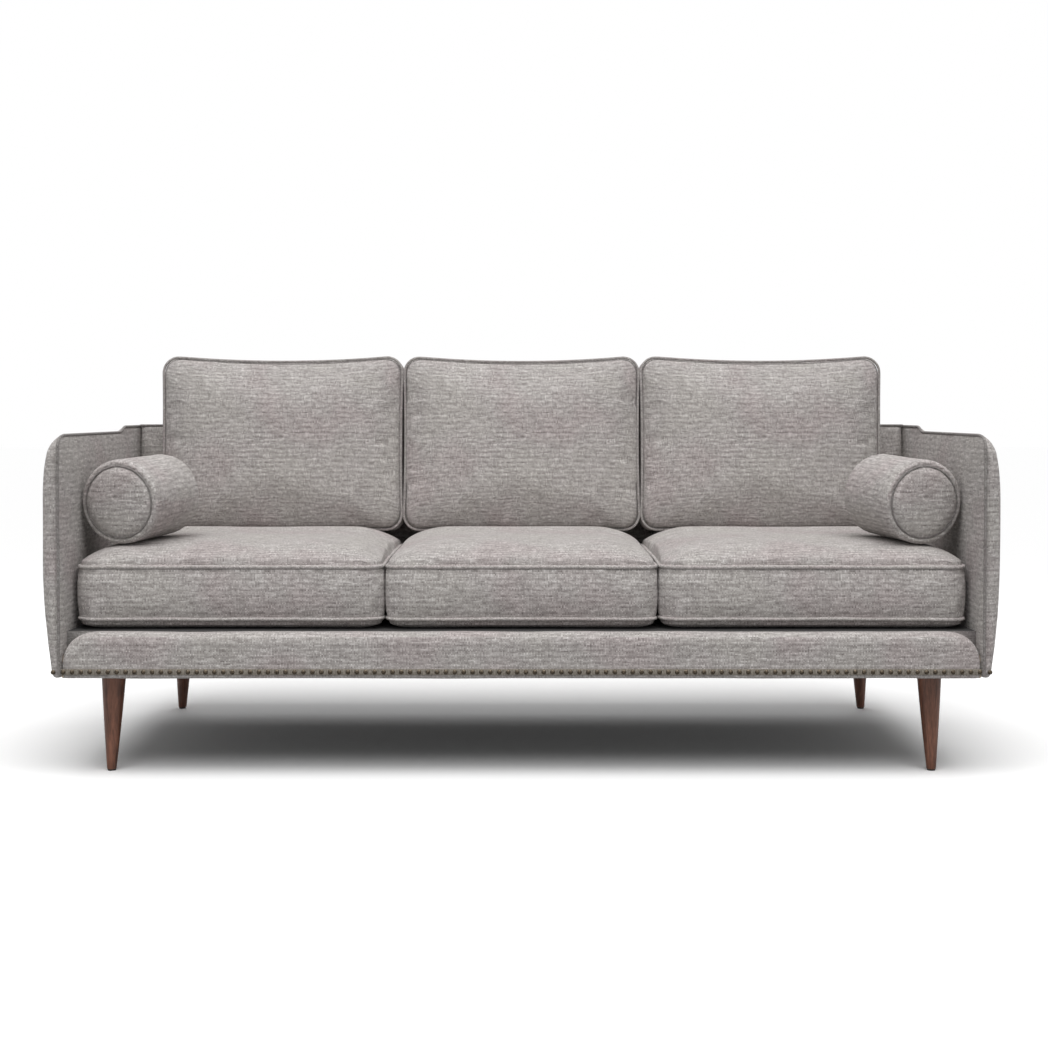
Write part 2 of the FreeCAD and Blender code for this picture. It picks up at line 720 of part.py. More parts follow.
# Inside back: padded cloth on the raked front and over the top of the back, in one piece.
inside = part_object("PartDesign::Body", "back_inside")
low_z = "(deck_height + fit_gap)"
rise = "((back_height - back_edge_round) - deck_height)*lean_slope"
pad_shape = outline(
    inside, "back_inside_profile", "YZ_Plane", "-clear_half",
    [("back_face", low_z),
     (f"back_face + {rise}", "back_height - back_edge_round"),
     (f"back_face + {rise} + back_edge_round*0.95", "back_height"),
     ("back - back_edge_round", "back_height"),
     ("back", "back_height - back_edge_round"),
     ("back", "post_top"),
     ("back_frame_face + (post_top - deck_height)*lean_slope", "post_top"),
     ("back_frame_face", low_z)],
    {1: ("back_edge_round", -1), 3: ("back_edge_round", -1)})
pad(inside, pad_shape, "2*clear_half")

board("back_outside",
      ("-clear_half", "rail_back", "leg_height"), ("clear_half", "back", "post_top - fit_gap"))


# Cushions: a boxed cover between two welts, with a crown above and a shallow belly below, round a
# foam slab. Each ring round a cushion has four corners of equal chords, and between them sides that
# are drawn in to their middles; rings keep their directions, so the faces between them are flat.
CORNER_CHORDS = 4
CORNER_GROWTH = 0.35
CROWN_BANDS = 4
BELLY_BANDS = 2


def cushion_ring(level, inset, halves, corner, draws):
    """Points round a cushion at a level, set in from its full outline."""
    points = []
    for quarter, draw in enumerate(draws):
        half, far = halves[quarter % 2], halves[(quarter + 1) % 2] - inset
        run = half - inset
        radius = corner + inset*CORNER_GROWTH
        side = [Vector(0, draw*(run - radius)/(half - corner) - far, level)]
        centre = Vector(run - radius, radius - far, level)
        for chord in range(CORNER_CHORDS + 1):
            angle = math.pi/2*(chord/CORNER_CHORDS - 1)
            side.append(centre + Vector(radius*math.cos(angle), radius*math.sin(angle), 0))
        turn = Rotation(Vector(0, 0, 1), 90*quarter)
        points += [turn.multVec(point) for point in side]
    return points


def crown_steps(start, rise, reach, bands):
    """Levels and insets of a crown that leaves its welt upright and ends level, a quarter of an oval."""
    angles = [math.pi/2*band/bands for band in range(1, bands + 1)]
    return [(start + rise*math.sin(angle), reach*(1 - math.cos(angle))) for angle in angles]


def slab(halves, low, tall, extra):
    """A foam slab with rounded upright edges, or the hollow for it."""
    across, along = halves[0] + extra, halves[1] + extra
    block = Part.makeBox(2*across, 2*along, tall + extra, Vector(-across, -along, low))
    upright = [edge for edge in block.Edges if abs(edge.tangentAt(edge.FirstParameter).z) > 0.9]
    return block.makeFillet(value("foam_corner"), upright)


def cushion(label, halves, corner, draws, puff, belly, boxing, crown, foam):
    """A cover with its foam slab; heights start from the lowest point of the belly."""
    belly_rise, belly_reach = belly
    high = belly_rise + boxing
    steps = crown_steps(belly_rise, -belly_rise, belly_reach, BELLY_BANDS)[::-1]
    steps += [(belly_rise, 0), (belly_rise + boxing/2, -puff), (high, 0)]
    steps += crown_steps(high, *crown, CROWN_BANDS)
    rings = [cushion_ring(level, inset + puff, halves, corner, draws) for level, inset in steps]
    thickness, margin = foam
    foam_halves = [half - margin for half in halves]
    low = belly_rise*0.7 + value("foam_clearance")
    gap = value("fit_gap")
    cover = group(label, [flat_faced(rings).cut(slab(foam_halves, low, thickness, gap))])
    filling = group(label.replace("cushion", "foam"), [slab(foam_halves, low, thickness, 0)])
    return cover, filling


def stand(bodies, x, y, z, lean=None):
    for body in bodies:
        if lean is not None:
            body.Placement.Rotation = Rotation(Vector(1, 0, 0), 90)
            bind(body, "Placement.Rotation.Angle", f"(90 - {lean})*1deg")
        bind(body, "Placement.Base.x", x)
        bind(body, "Placement.Base.y", y)
        bind(body, "Placement.Base.z", z)


POSITIONS = [("left", -1, "outer"), ("middle", 0, "middle"), ("right", 1, "outer")]
for name, side, kind in POSITIONS:
    pair = cushion(
        "seat_cushion_" + name,
        (value(f"seat_{kind}_width/2"), value("seat_length/2")),
        value("seat_corner"),
        [value("seat_side_draw")]*4,
        value("boxing_puff"),
        (value("seat_belly_rise"), value("seat_belly_reach")),
        value("seat_boxing"),
        (value("seat_crown"), value("seat_crown_reach")),
        (value("seat_foam_thickness"), value("seat_foam_margin")))
    stand(pair, f"({side})*seat_outer_middle", "seat_middle_y", "seat_bottom")

for name, side, kind in POSITIONS:
    pair = cushion(
        "back_cushion_" + name,
        (value(f"back_cushion_{kind}_width/2"), value("back_cushion_height/2")),
        value("back_cushion_corner"),
        [value(f"back_cushion_{edge}_draw") for edge in ("foot", "side", "top", "side")],
        value("boxing_puff"),
        (value("back_cushion_rear_crown"), value("back_cushion_reach")),
        value("back_cushion_boxing"),
        (value("back_cushion_crown"), value("back_cushion_reach")),
        (value("back_foam_thickness"), value("back_foam_margin")))
    middle = "(back_cushion_height/2)"
    height = "(back_cushion_foot - deck_height)"
    stand(pair, f"({side})*back_cushion_outer_middle",
          f"back_face + {height}*lean_slope - fit_gap/cos(back_lean*1deg) + {middle}*sin(back_lean*1deg)",
          f"back_cushion_foot + {middle}*cos(back_lean*1deg)", "back_lean")

# Bolsters: round cushions with soft rims and slightly crowned ends, lying on the outer seat
# cushions beside the arms and turned a little towards the middle of the sofa.
BOLSTER_FACE_COUNT = 32
CAP_CENTRE = 0.3
for name, side in SIDES:
    half, radius = value("bolster_length/2"), value("bolster_diameter/2")
    rim = value("bolster_rim")
    profile = [(half, radius*CAP_CENTRE)]
    for angle in (0, 30, 60, 90):
        turn = math.radians(angle)
        place = half - value("bolster_cap_crown") - rim*(1 - math.cos(turn))
        profile.append((place, radius - rim*(1 - math.sin(turn))))
    profile += [(-x, around) for x, around in reversed(profile)]
    rings = [turned_ring(Vector(x, 0, 0), around, BOLSTER_FACE_COUNT, along_x=True) for x, around in profile]
    gap = value("fit_gap")
    core_half, core_radius = value("bolster_core_length/2"), value("bolster_core_diameter/2")
    hollow = rod(core_radius + gap, (-core_half - gap, 0, 0), (core_half + gap, 0, 0))
    cover = group("bolster_" + name, [flat_faced(rings).cut(hollow)])
    core = group("bolster_core_" + name, [rod(core_radius, (-core_half, 0, 0), (core_half, 0, 0))])
    half, radius = "(bolster_length/2)", "(bolster_diameter/2)"
    for piece in (cover, core):
        piece.Placement.Rotation = Rotation(Vector(0, 0, 1), 90)
        bind(piece, "Placement.Rotation.Angle", f"(90 + ({side})*bolster_turn)*1deg")
        bind(piece, "Placement.Base.x", f"({side})*(bolster_place - {half}*sin(bolster_turn*1deg))")
        bind(piece, "Placement.Base.y", f"front + bolster_set_back + {half}*cos(bolster_turn*1deg)")
        bind(piece, "Placement.Base.z", f"seat_top + fit_gap + {radius}")

doc.recompute()

faults = []
for thing in doc.Objects:
    if {"Invalid", "Error"} & set(thing.State):
        faults.append(f"{thing.Name}: {thing.State}")
for thing in parts:
    if thing.Shape.isNull() or not thing.Shape.isValid() or not thing.Shape.Solids:
        faults.append(f"{thing.Label}: no valid solid")
if faults:
    raise RuntimeError("; ".join(faults))

os.makedirs("parts", exist_ok=True)
for thing in parts:
    thing.Shape.exportStep(f"parts/{thing.Label}.step")
print(len(parts), "sub-parts written")
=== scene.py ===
# %% [markdown]
# # A three-seater sofa
# The sofa has slim rounded arms, three boxed seat cushions, three loose back cushions and two
# bolsters, all in one woven grey cloth, over a timber frame on turned legs. The construction comes
# in as fixed solids. This lesson dresses it: every padded piece is modelled again as cloth over
# filling, where its solid stands, and the hard pieces get their finishes.

# %% Load the construction
import json
from math import atan2, copysign, cos, exp, hypot, pi, prod, radians, sin, sqrt, tan, tanh

import bmesh
import bpy
from mathutils import Matrix, Vector, noise


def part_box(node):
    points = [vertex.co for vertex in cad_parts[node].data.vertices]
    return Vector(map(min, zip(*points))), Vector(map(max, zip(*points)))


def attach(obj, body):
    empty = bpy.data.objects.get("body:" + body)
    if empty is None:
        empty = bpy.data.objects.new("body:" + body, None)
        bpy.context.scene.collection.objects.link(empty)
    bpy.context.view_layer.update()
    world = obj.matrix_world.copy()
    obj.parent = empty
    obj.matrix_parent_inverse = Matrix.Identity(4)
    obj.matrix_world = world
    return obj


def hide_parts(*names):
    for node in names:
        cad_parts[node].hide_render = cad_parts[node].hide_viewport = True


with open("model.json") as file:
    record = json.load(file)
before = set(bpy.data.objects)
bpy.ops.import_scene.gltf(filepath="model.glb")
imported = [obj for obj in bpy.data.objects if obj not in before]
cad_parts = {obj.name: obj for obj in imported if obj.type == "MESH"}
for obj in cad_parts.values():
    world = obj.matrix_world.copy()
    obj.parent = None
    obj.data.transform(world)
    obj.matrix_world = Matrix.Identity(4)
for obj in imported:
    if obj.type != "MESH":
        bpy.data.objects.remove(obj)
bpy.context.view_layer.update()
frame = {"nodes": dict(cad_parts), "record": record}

nodes = frame["nodes"]

# %% [markdown]
# ## Measures
# Every place is read from the frame, so that the dressing follows the construction. Only what the
# solids can't tell is named here: how thick a welt is, how far a seam pulls in.

# %% Measures from the frame
arm_low, arm_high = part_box("arm_right")
rail_low, rail_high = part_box("front_rail")
border_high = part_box("front_border")[1]
deck_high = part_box("seat_deck")[1]
inside_low, inside_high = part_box("back_inside")
outside_low, outside_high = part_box("back_outside")

FRONT = arm_low.y
BACK = arm_high.y
ARM_INNER = arm_low.x
ARM_OUTER = arm_high.x
BASE = arm_low.z
CLEAR_HALF = rail_high.x
ARM_STEP_RISE = 0.013
ARM_TOP = arm_high.z - ARM_STEP_RISE
LEAN = radians(5.4)
WELT_RADIUS = 0.0040
print("arm inner face at", round(ARM_INNER, 4), "m, outer at", round(ARM_OUTER, 4), "m")

# %% [markdown]
# ## Cloth
# The cover is a plain weave of thick uneven yarns, so that short pale streaks run across and shorter
# ones run up. It is worked out from a map laid on each piece in metres. Two sine waves multiplied
# give the overs and unders, and a stretched noise for each direction gives each yarn its own tone.

# %% Node helpers
def make(tree, kind, inputs=None, **settings):
    """Add a node, with settings, and with values or outputs at its inputs."""
    made = tree.nodes.new(kind)
    for name, setting in settings.items():
        setattr(made, name, setting)
    for name, given in (inputs or {}).items():
        if isinstance(given, bpy.types.NodeSocket):
            tree.links.new(given, made.inputs[name])
        else:
            made.inputs[name].default_value = given
    return made


def calc(operation, *values, clamp=False):
    """One sum on outputs and numbers, in the outputs' own tree."""
    tree = next(given.id_data for given in values if isinstance(given, bpy.types.NodeSocket))
    inputs = dict(enumerate(values))
    return make(tree, "ShaderNodeMath", inputs, operation=operation, use_clamp=clamp).outputs[0]


def ramp(factor, stops):
    """Colours along a factor, each stop a place and a colour."""
    made = make(factor.id_data, "ShaderNodeValToRGB", {0: factor})
    elements = made.color_ramp.elements
    while len(elements) < len(stops):
        elements.new(0.5)
    for element, (place, colour) in zip(elements, stops):
        element.position = place
        element.color = (*colour, 1)
    return made.outputs[0]


def new_material(name, **surface):
    """A material, its tree and its shader, with the shader's even values set."""
    material = bpy.data.materials.new(name)
    material.use_nodes = True
    shader = material.node_tree.nodes["Principled BSDF"]
    for socket, setting in surface.items():
        shader.inputs[socket.replace("_", " ")].default_value = setting
    return material, material.node_tree, shader


def noise_at(place, scale, detail, **more):
    """A noise's two outputs at a place: its value and its colour."""
    inputs = {"Vector": place, "Scale": scale, "Detail": detail, **more}
    return make(place.id_data, "ShaderNodeTexNoise", inputs).outputs


def join_surface(shader, colour, height, strength, distance):
    """Give the shader its colour and its bump."""
    tree = shader.id_data
    bump = make(tree, "ShaderNodeBump", {"Height": height, "Strength": strength, "Distance": distance})
    tree.links.new(colour, shader.inputs["Base Color"])
    tree.links.new(bump.outputs[0], shader.inputs["Normal"])


# %% The woven cloth
YARN_PITCH = 0.0030
ROW_PITCH = 0.0120
YARN_DARK = (0.204, 0.185, 0.177)
YARN_MIDDLE = (0.430, 0.400, 0.386)
YARN_LIGHT = (0.780, 0.750, 0.730)
ROW_STRENGTH = 0.068
ROW_RUN = 0.055
ROW_DRIFT = 0.015
WEFT_RUN = 0.026
WARP_RUN = 0.011
WANDER = 0.004
FIBRE_STRENGTH = 0.20
PATCH_STRENGTH = 0.05
PIPING_PITCH = 0.0024
MAUVE = (0.965, 0.925, 0.935)
GREYGREEN = (0.975, 0.98, 0.965)


def yarn_tone(along, number, run, seed, detail=3.0):
    """One yarn's changing tone: stretched along its run, and new on each yarn."""
    place = make(along.id_data, "ShaderNodeCombineXYZ", {
        0: calc("MULTIPLY", along, 1/run),
        1: calc("MULTIPLY", number, 1.7), 2: seed}).outputs[0]
    return noise_at(place, 1.0, detail, Roughness=0.62)[0]


def tone_added(tone, change, amount):
    """Add a changing part, whose middle is a half, to the cloth's tone."""
    return calc("MULTIPLY_ADD", calc("SUBTRACT", change, 0.5), amount, tone)


def woven(name, pitch=YARN_PITCH, painted_shading=1.0, rows=1.0):
    """The sofa's cloth, on the map named weave; its shading factor paints shade or highlight on a copy.
    """
    material, tree, shader = new_material(
        name, Roughness=0.93, Specular_IOR_Level=0.18, Sheen_Weight=0.12, Sheen_Roughness=0.5)
    place = make(tree, "ShaderNodeUVMap", uv_map="weave").outputs[0]
    drift = noise_at(place, 16.0, 1.0)[1]
    moved = make(tree, "ShaderNodeVectorMath", {0: drift, 1: (WANDER, WANDER, 0.0), 2: place},
                 operation="MULTIPLY_ADD").outputs[0]
    split = make(tree, "ShaderNodeSeparateXYZ", {0: moved})
    across, up = split.outputs[0], split.outputs[1]
    yarn_x, yarn_y = [calc("DIVIDE", axis, pitch) for axis in (across, up)]
    waves = [calc("SINE", calc("MULTIPLY", yarn, pi)) for yarn in (yarn_x, yarn_y)]
    crossing = calc("MULTIPLY", *waves)
    over = calc("MULTIPLY_ADD", crossing, 0.7, 0.5, clamp=True)
    weft = yarn_tone(across, calc("FLOOR", yarn_y), WEFT_RUN, 2.0)
    warp = yarn_tone(up, calc("FLOOR", yarn_x), WARP_RUN, 9.0)
    tone = make(tree, "ShaderNodeMix", {0: over, 2: warp, 3: weft}, data_type="FLOAT").outputs[0]
    wander = noise_at(place, 25.0, 1.0)[0]
    thick_row = calc("DIVIDE", calc("MULTIPLY_ADD", wander, ROW_DRIFT, up), ROW_PITCH)
    slub = yarn_tone(across, calc("FLOOR", thick_row), ROW_RUN, 5.0, detail=2.0)
    crest = calc("SINE", calc("MULTIPLY", thick_row, 2*pi))
    row_tone = calc("MULTIPLY", crest, calc("MULTIPLY", slub, ROW_STRENGTH*rows))
    tone = calc("ADD", tone, row_tone)
    tone = tone_added(tone, noise_at(place, 900.0, 2.0)[0], FIBRE_STRENGTH)
    patch = noise_at(place, 5.0, 2.0)[0]
    tone = tone_added(tone, patch, PATCH_STRENGTH)
    stops = [(0.28, YARN_DARK), (0.49, YARN_MIDDLE), (0.72, YARN_LIGHT)]
    colour = ramp(tone, [(place, [part*painted_shading for part in yarn]) for place, yarn in stops])
    hue = ramp(patch, [(0.38, MAUVE), (0.50, (1, 1, 1)), (0.62, GREYGREEN)])
    colour = make(tree, "ShaderNodeMix", {0: 1.0, 6: colour, 7: hue},
                  data_type="RGBA", blend_type="MULTIPLY").outputs[2]
    height = calc("POWER", calc("ABSOLUTE", crossing), 0.6)
    height = calc("MULTIPLY_ADD", tone, 0.8, height)
    join_surface(shader, colour, height, 0.75, 0.0009)
    return material


cloth = woven("upholstery_cloth")
# Copies of the same cloth, darker or lighter: painted shade and painted highlight on welts and seams.
piping_painted_shade, piping_painted_highlight, piping_painted_deep_shade, seam_painted_shade = [
    woven(name, pitch=PIPING_PITCH, painted_shading=painted_shading, rows=0.0) for name, painted_shading in (
        ("piping_painted_shade", 0.82), ("piping_painted_highlight", 1.06), ("piping_painted_deep_shade", 0.58), ("seam_painted_shade", 0.5))]
print("made", cloth.name, piping_painted_shade.name, "and", seam_painted_shade.name)

# %% [markdown]
# ## Wood, metal and the cloths that hardly show
# The legs are stained hardwood with a low sheen: the grain is a noise drawn out along the leg, with
# darker pores. Frame timber and plywood have a grain of their own. The nailheads are aged bronze.

# %% Wood
def grained(name, dark, light, stretch, scale, roughness, coat=0.0):
    """Wood with its grain drawn out along one axis."""
    material, tree, shader = new_material(
        name, Roughness=roughness, Coat_Weight=coat, Coat_Roughness=0.35)
    place = make(tree, "ShaderNodeTexCoord").outputs["Object"]
    drawn = make(tree, "ShaderNodeMapping", {"Vector": place, "Scale": stretch}).outputs[0]
    grain = noise_at(drawn, scale, 6.0, Roughness=0.6, Distortion=0.6)[0]
    pores = noise_at(drawn, scale*6, 3.0, Roughness=0.7)[0]
    tone = tone_added(grain, pores, 0.45)
    middle = tuple((a + b)/2 for a, b in zip(dark, light))
    colour = ramp(tone, [(0.32, dark), (0.5, middle), (0.68, light)])
    join_surface(shader, colour, pores, 0.25, 0.0004)
    return material


leg_wood = grained("leg_walnut", (0.078, 0.031, 0.018), (0.285, 0.118, 0.070), (9, 9, 0.7), 9.0, 0.38,
                   coat=0.25)
finishes = {
    "upholstery": cloth, "leg_wood": leg_wood,
    "frame_timber": grained("frame_pine", (0.44, 0.29, 0.16), (0.74, 0.57, 0.37), (0.5, 6, 6), 7.0, 0.7),
    "plywood": grained("arm_plywood", (0.42, 0.29, 0.17), (0.68, 0.52, 0.34), (6, 0.5, 6), 6.0, 0.65)}


# %% Metal, plastic, foam and lining cloths
def mottled(name, dark, light, scale, roughness, metallic=0.0, bump=0.2, depth=0.0005):
    """An even finish with the slight cloudiness that real stuff has."""
    material, tree, shader = new_material(name, Roughness=roughness, Metallic=metallic)
    place = make(tree, "ShaderNodeTexCoord").outputs["Object"]
    cloud = noise_at(place, scale, 5.0, Roughness=0.6)[0]
    join_surface(shader, ramp(cloud, [(0.35, dark), (0.65, light)]), cloud, bump, depth)
    return material


def ribbed_cloth(name, dark, light, pitch, depth):
    """A plain lining or strap: fine ribs both ways on the object's own coordinates."""
    material, tree, shader = new_material(name, Roughness=0.9, Sheen_Weight=0.05)
    place = make(tree, "ShaderNodeTexCoord").outputs["Object"]
    split = make(tree, "ShaderNodeSeparateXYZ", {0: place})
    waves = [calc("SINE", calc("MULTIPLY", axis, 2*pi/pitch))
             for axis in split.outputs[:2]]
    both = calc("MULTIPLY", *waves)
    tone = calc("MULTIPLY_ADD", both, 0.25, noise_at(place, 300.0, 3.0)[0])
    join_surface(shader, ramp(tone, [(0.3, dark), (0.7, light)]), tone, 0.5, depth)
    return material


bronze = mottled("nail_bronze", (0.040, 0.031, 0.023), (0.155, 0.125, 0.090), 420.0, 0.42, 0.85,
                 bump=0.3, depth=0.0003)
finishes |= {
    "zinc_steel": mottled("zinc_plate", (0.42, 0.42, 0.41), (0.62, 0.62, 0.60), 260.0, 0.38, 0.9),
    "glide_plastic": mottled("glide_plastic", (0.030, 0.027, 0.025), (0.055, 0.050, 0.046), 300.0, 0.5),
    "foam": mottled("cushion_foam", (0.66, 0.60, 0.44), (0.84, 0.79, 0.64), 700.0, 0.95, 0.0, 0.6, 0.001),
    "webbing": ribbed_cloth("webbing_elastic", (0.05, 0.045, 0.04), (0.20, 0.18, 0.16), 0.004, 0.0006),
    "platform_cloth": ribbed_cloth(
        "platform_cloth", (0.016, 0.015, 0.015), (0.042, 0.039, 0.038), 0.002, 0.0003),
    "dust_cloth": ribbed_cloth("dust_cloth", [0.012]*3, [0.045]*3, 0.003, 0.0003)}
gimp = ribbed_cloth("gimp_braid", (0.14, 0.123, 0.100), (0.33, 0.295, 0.250), 0.003, 0.0006)
print("made", len(bpy.data.materials), "materials")

# %% [markdown]
# ## Hidden pieces keep their solids
# Timber, panels, straps, bolts, foam and linings have their true shape already. Each only takes its
# finish, by the record's list of which piece has which material slot.

# %% Finishes for the solids
for row in frame["record"]["subparts"]:
    piece = nodes[row["node"]]
    finish = finishes[row["material_slot"]]
    for number in range(len(piece.data.materials)):
        piece.data.materials[number] = finish

# %% [markdown]
# ## From rings to soft bodies
# A soft body starts as rings of points, bridged one to the next and closed at both ends. A voxel
# remesh evens its faces out, because cloth that is to swell needs faces of one size. The weave's map
# is laid on last, panel by panel, as the cloth is cut: the panels meet at the welts.

# %% Mesh helpers
def put_in_scene(name, data):
    """A new object that shows the data."""
    made = bpy.data.objects.new(name, data)
    bpy.context.scene.collection.objects.link(made)
    return made


def add_object(name, bm):
    """A new object from a bmesh, with faces pointing out."""
    bmesh.ops.recalc_face_normals(bm, faces=bm.faces)
    mesh = bpy.data.meshes.new(name)
    bm.to_mesh(mesh)
    bm.free()
    return put_in_scene(name, mesh)


def lofted(name, rings):
    """A closed body through rings with as many points each."""
    bm = bmesh.new()
    loops = []
    for ring in rings:
        points = [bm.verts.new(point) for point in ring]
        loops.append([bm.edges.new(pair) for pair in zip(points, points[1:] + points[:1])])
    for one, other in zip(loops, loops[1:]):
        bmesh.ops.bridge_loops(bm, edges=one + other)
    for loop in (loops[0], loops[-1]):
        bmesh.ops.contextual_create(bm, geom=loop)
    return add_object(name, bm)


def spun(name, profile, axis, steps, weld):
    """A body turned from a profile's points round an axis, as on a lathe."""
    bm = bmesh.new()
    points = [bm.verts.new(point) for point in profile]
    edges = [bm.edges.new(pair) for pair in zip(points, points[1:])]
    bmesh.ops.spin(bm, geom=points + edges, axis=axis, cent=(0, 0, 0), steps=steps,
                   angle=2*pi, use_merge=True)
    bmesh.ops.remove_doubles(bm, verts=bm.verts, dist=weld)
    return add_object(name, bm)


def apply_modifiers(obj):
    """Keep what the modifiers make, and drop them."""
    graph = bpy.context.evaluated_depsgraph_get()
    mesh = bpy.data.meshes.new_from_object(obj.evaluated_get(graph))
    mesh.name = obj.name
    obj.modifiers.clear()
    obj.data = mesh


def even_mesh(obj, voxel):
    """Make the body anew from faces of one size."""
    modifier = obj.modifiers.new("even mesh", "REMESH")
    modifier.mode = "VOXEL"
    modifier.voxel_size = voxel
    modifier.use_smooth_shade = True
    apply_modifiers(obj)


def subdivided(obj):
    """Round the faces off with one subdivision."""
    modifier = obj.modifiers.new("fine mesh", "SUBSURF")
    modifier.levels = modifier.render_levels = 1


def weave_map(obj, rule, turn=0.0):
    """Lay the weave's map: the rule takes a face, and gives each of its corners a place in metres."""
    mesh = obj.data
    layer = mesh.uv_layers.get("weave") or mesh.uv_layers.new(name="weave")
    along, aside = cos(turn), sin(turn)
    spots = [0.0]*(2*len(mesh.loops))
    vertices = [(vertex.co.copy(), vertex.normal.copy()) for vertex in mesh.vertices]
    for face in mesh.polygons:
        panel = rule(face.center, face.normal)
        for corner, number in zip(face.loop_indices, face.vertices):
            u, v = panel(*vertices[number])
            spots[2*corner] = u*along - v*aside
            spots[2*corner + 1] = u*aside + v*along
    layer.data.foreach_set("uv", spots)


def ripple(place, scale, seed):
    """A smooth small number between -1 and 1 that changes from place to place."""
    return noise.noise(place*scale + Vector((seed, seed*1.7, -seed)))


def uneven(obj, scale, amount, seed):
    """Move each point a little along its normal, so that no face is dead flat."""
    normals = [vertex.normal.copy() for vertex in obj.data.vertices]
    for vertex, normal in zip(obj.data.vertices, normals):
        vertex.co += normal*(ripple(vertex.co, scale, seed)*amount)


def flat_panels(centre, normal):
    """Cloth pulled flat over the side that the face looks to."""
    side = max(range(3), key=lambda axis: abs(normal[axis]))
    axes = ((1, 2), (0, 2), (0, 1))[side]
    return lambda place, normal: (place[axes[0]], place[axes[1]])


def dress(obj, material, body, *replaced, slot="upholstery"):
    """Give a finished piece its cloth, its body and the solids that it stands for."""
    obj.data.materials.clear()
    obj.data.materials.append(material)
    obj.data.polygons.foreach_set("use_smooth", [True]*len(obj.data.polygons))
    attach(obj, body)
    if replaced:
        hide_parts(*replaced)
    print(obj.name, len(obj.data.polygons), "faces")


# %% [markdown]
# ## Welts
# Each seam holds a welt: a cord wrapped in a strip of the same cloth, cut at an angle. A curve with
# a round bevel lays one along a path; it is turned into a mesh at once, so that it can carry the
# weave's map, turned by an eighth of a circle as bias strips are.

# %% Welts
def add_welt(name, paths, body, radius, material, closed=True):
    """A piece of its own: round cords along paths of points."""
    curve = bpy.data.curves.new("welt_path", "CURVE")
    curve.dimensions = "3D"
    curve.bevel_depth = radius
    curve.bevel_resolution = 3
    curve.use_fill_caps = True
    for path in paths:
        spline = curve.splines.new("NURBS")
        spline.points.add(len(path) - 1)
        for point, place in zip(spline.points, path):
            point.co = (*place, 1)
        spline.order_u = 4
        spline.use_cyclic_u = closed
        spline.use_endpoint_u = not closed
        spline.resolution_u = 3
    holder = put_in_scene("welt_path", curve)
    graph = bpy.context.evaluated_depsgraph_get()
    mesh = bpy.data.meshes.new_from_object(holder.evaluated_get(graph))
    mesh.name = name
    bpy.data.objects.remove(holder)
    bpy.data.curves.remove(curve)
    made = put_in_scene(name, mesh)
    weave_map(made, flat_panels, turn=pi/4)
    dress(made, material, body)


# %% [markdown]
# ## Boxed cushions
# A boxed cushion is a strip, the boxing, sewn between two panels, with a welt in each seam. The body
# starts a little flat. Cloth simulation then blows it up with its seams pinned, a cap keeps every
# point near its start, and the crown is brought back to the height that the solid has.

# %% Cushion shape
CORNER_STEPS = 6
SIDE_STEPS = 12
CORNER_GROWTH = 0.35
CROWN_RINGS = 7
START_CROWN = 0.86


def cushion_ring(level, inset, shape):
    """Points round a cushion: four round corners, and sides drawn in to their middles."""
    halves, points = shape["halves"], []
    for quarter, draw in enumerate(shape["draws"]):
        half, far = halves[quarter % 2], halves[(quarter + 1) % 2] - inset
        run = half - inset
        radius = shape["corner"] + inset*CORNER_GROWTH
        start = radius - run
        side = []
        for step in range(SIDE_STEPS):
            along = start + (run - radius - start)*step/SIDE_STEPS
            ease = 1 - (along/start)**2
            side.append(Vector((along, draw*ease - far, level)))
        centre = Vector((run - radius, radius - far, level))
        for step in range(CORNER_STEPS + 1):
            angle = pi/2*(step/CORNER_STEPS - 1)
            side.append(centre + Vector((cos(angle), sin(angle), 0))*radius)
        turn = Matrix.Rotation(pi/2*quarter, 3, "Z")
        points += [turn @ point for point in side]
    return points


def crown(start, rise, reach):
    """Levels and insets of a crown that leaves its welt upright and ends level."""
    angles = [pi/2*step/CROWN_RINGS for step in range(1, CROWN_RINGS + 1)]
    return [(start + rise*sin(angle), reach*(1 - cos(angle))) for angle in angles]


def cushion_rings(shape, low_seam, high_seam):
    """All rings: the belly, the boxing between the seams, and the crown."""
    bulge = shape["puff"] + shape["bulge"]
    steps = crown(low_seam, -low_seam, shape["belly_reach"])[::-1]
    steps += [(low_seam, 0), (low_seam*0.7 + high_seam*0.3, -bulge*0.9),
              ((low_seam + high_seam)/2, -bulge),
              (low_seam*0.3 + high_seam*0.7, -bulge*0.9), (high_seam, 0)]
    steps += crown(high_seam, shape["crown"]*START_CROWN, shape["crown_reach"])
    return [cushion_ring(level, inset + shape["puff"], shape) for level, inset in steps]


# %% Blowing a cushion up
SWELL_FRAMES = 20
SWELL = {
    "quality": 5, "mass": 0.35, "tension_stiffness": 25, "compression_stiffness": 25,
    "shear_stiffness": 8, "bending_stiffness": 1.5, "vertex_group_mass": "seams",
    "use_pressure": True, "shrink_min": -0.012}


def blow_up(obj, pinned, pressure, cap):
    """Simulate a cover under pressure, its seams pinned, each point kept within the cap."""
    start = [vertex.co.copy() for vertex in obj.data.vertices]
    group = obj.vertex_groups.new(name="seams")
    group.add([number for number, place in enumerate(start) if pinned(place)], 1.0, "REPLACE")
    settings = obj.modifiers.new("cover", "CLOTH").settings
    for name, value in SWELL.items():
        setattr(settings, name, value)
    settings.uniform_pressure_force = pressure
    settings.effector_weights.gravity = 0
    scene = bpy.context.scene
    for number in range(1, SWELL_FRAMES + 1):
        scene.frame_set(number)
    apply_modifiers(obj)
    scene.frame_set(1)
    for vertex, place in zip(obj.data.vertices, start):
        move = vertex.co - place
        if move.length > 0:
            vertex.co = place + move*(cap*tanh(move.length/cap)/move.length)
    obj.vertex_groups.clear()


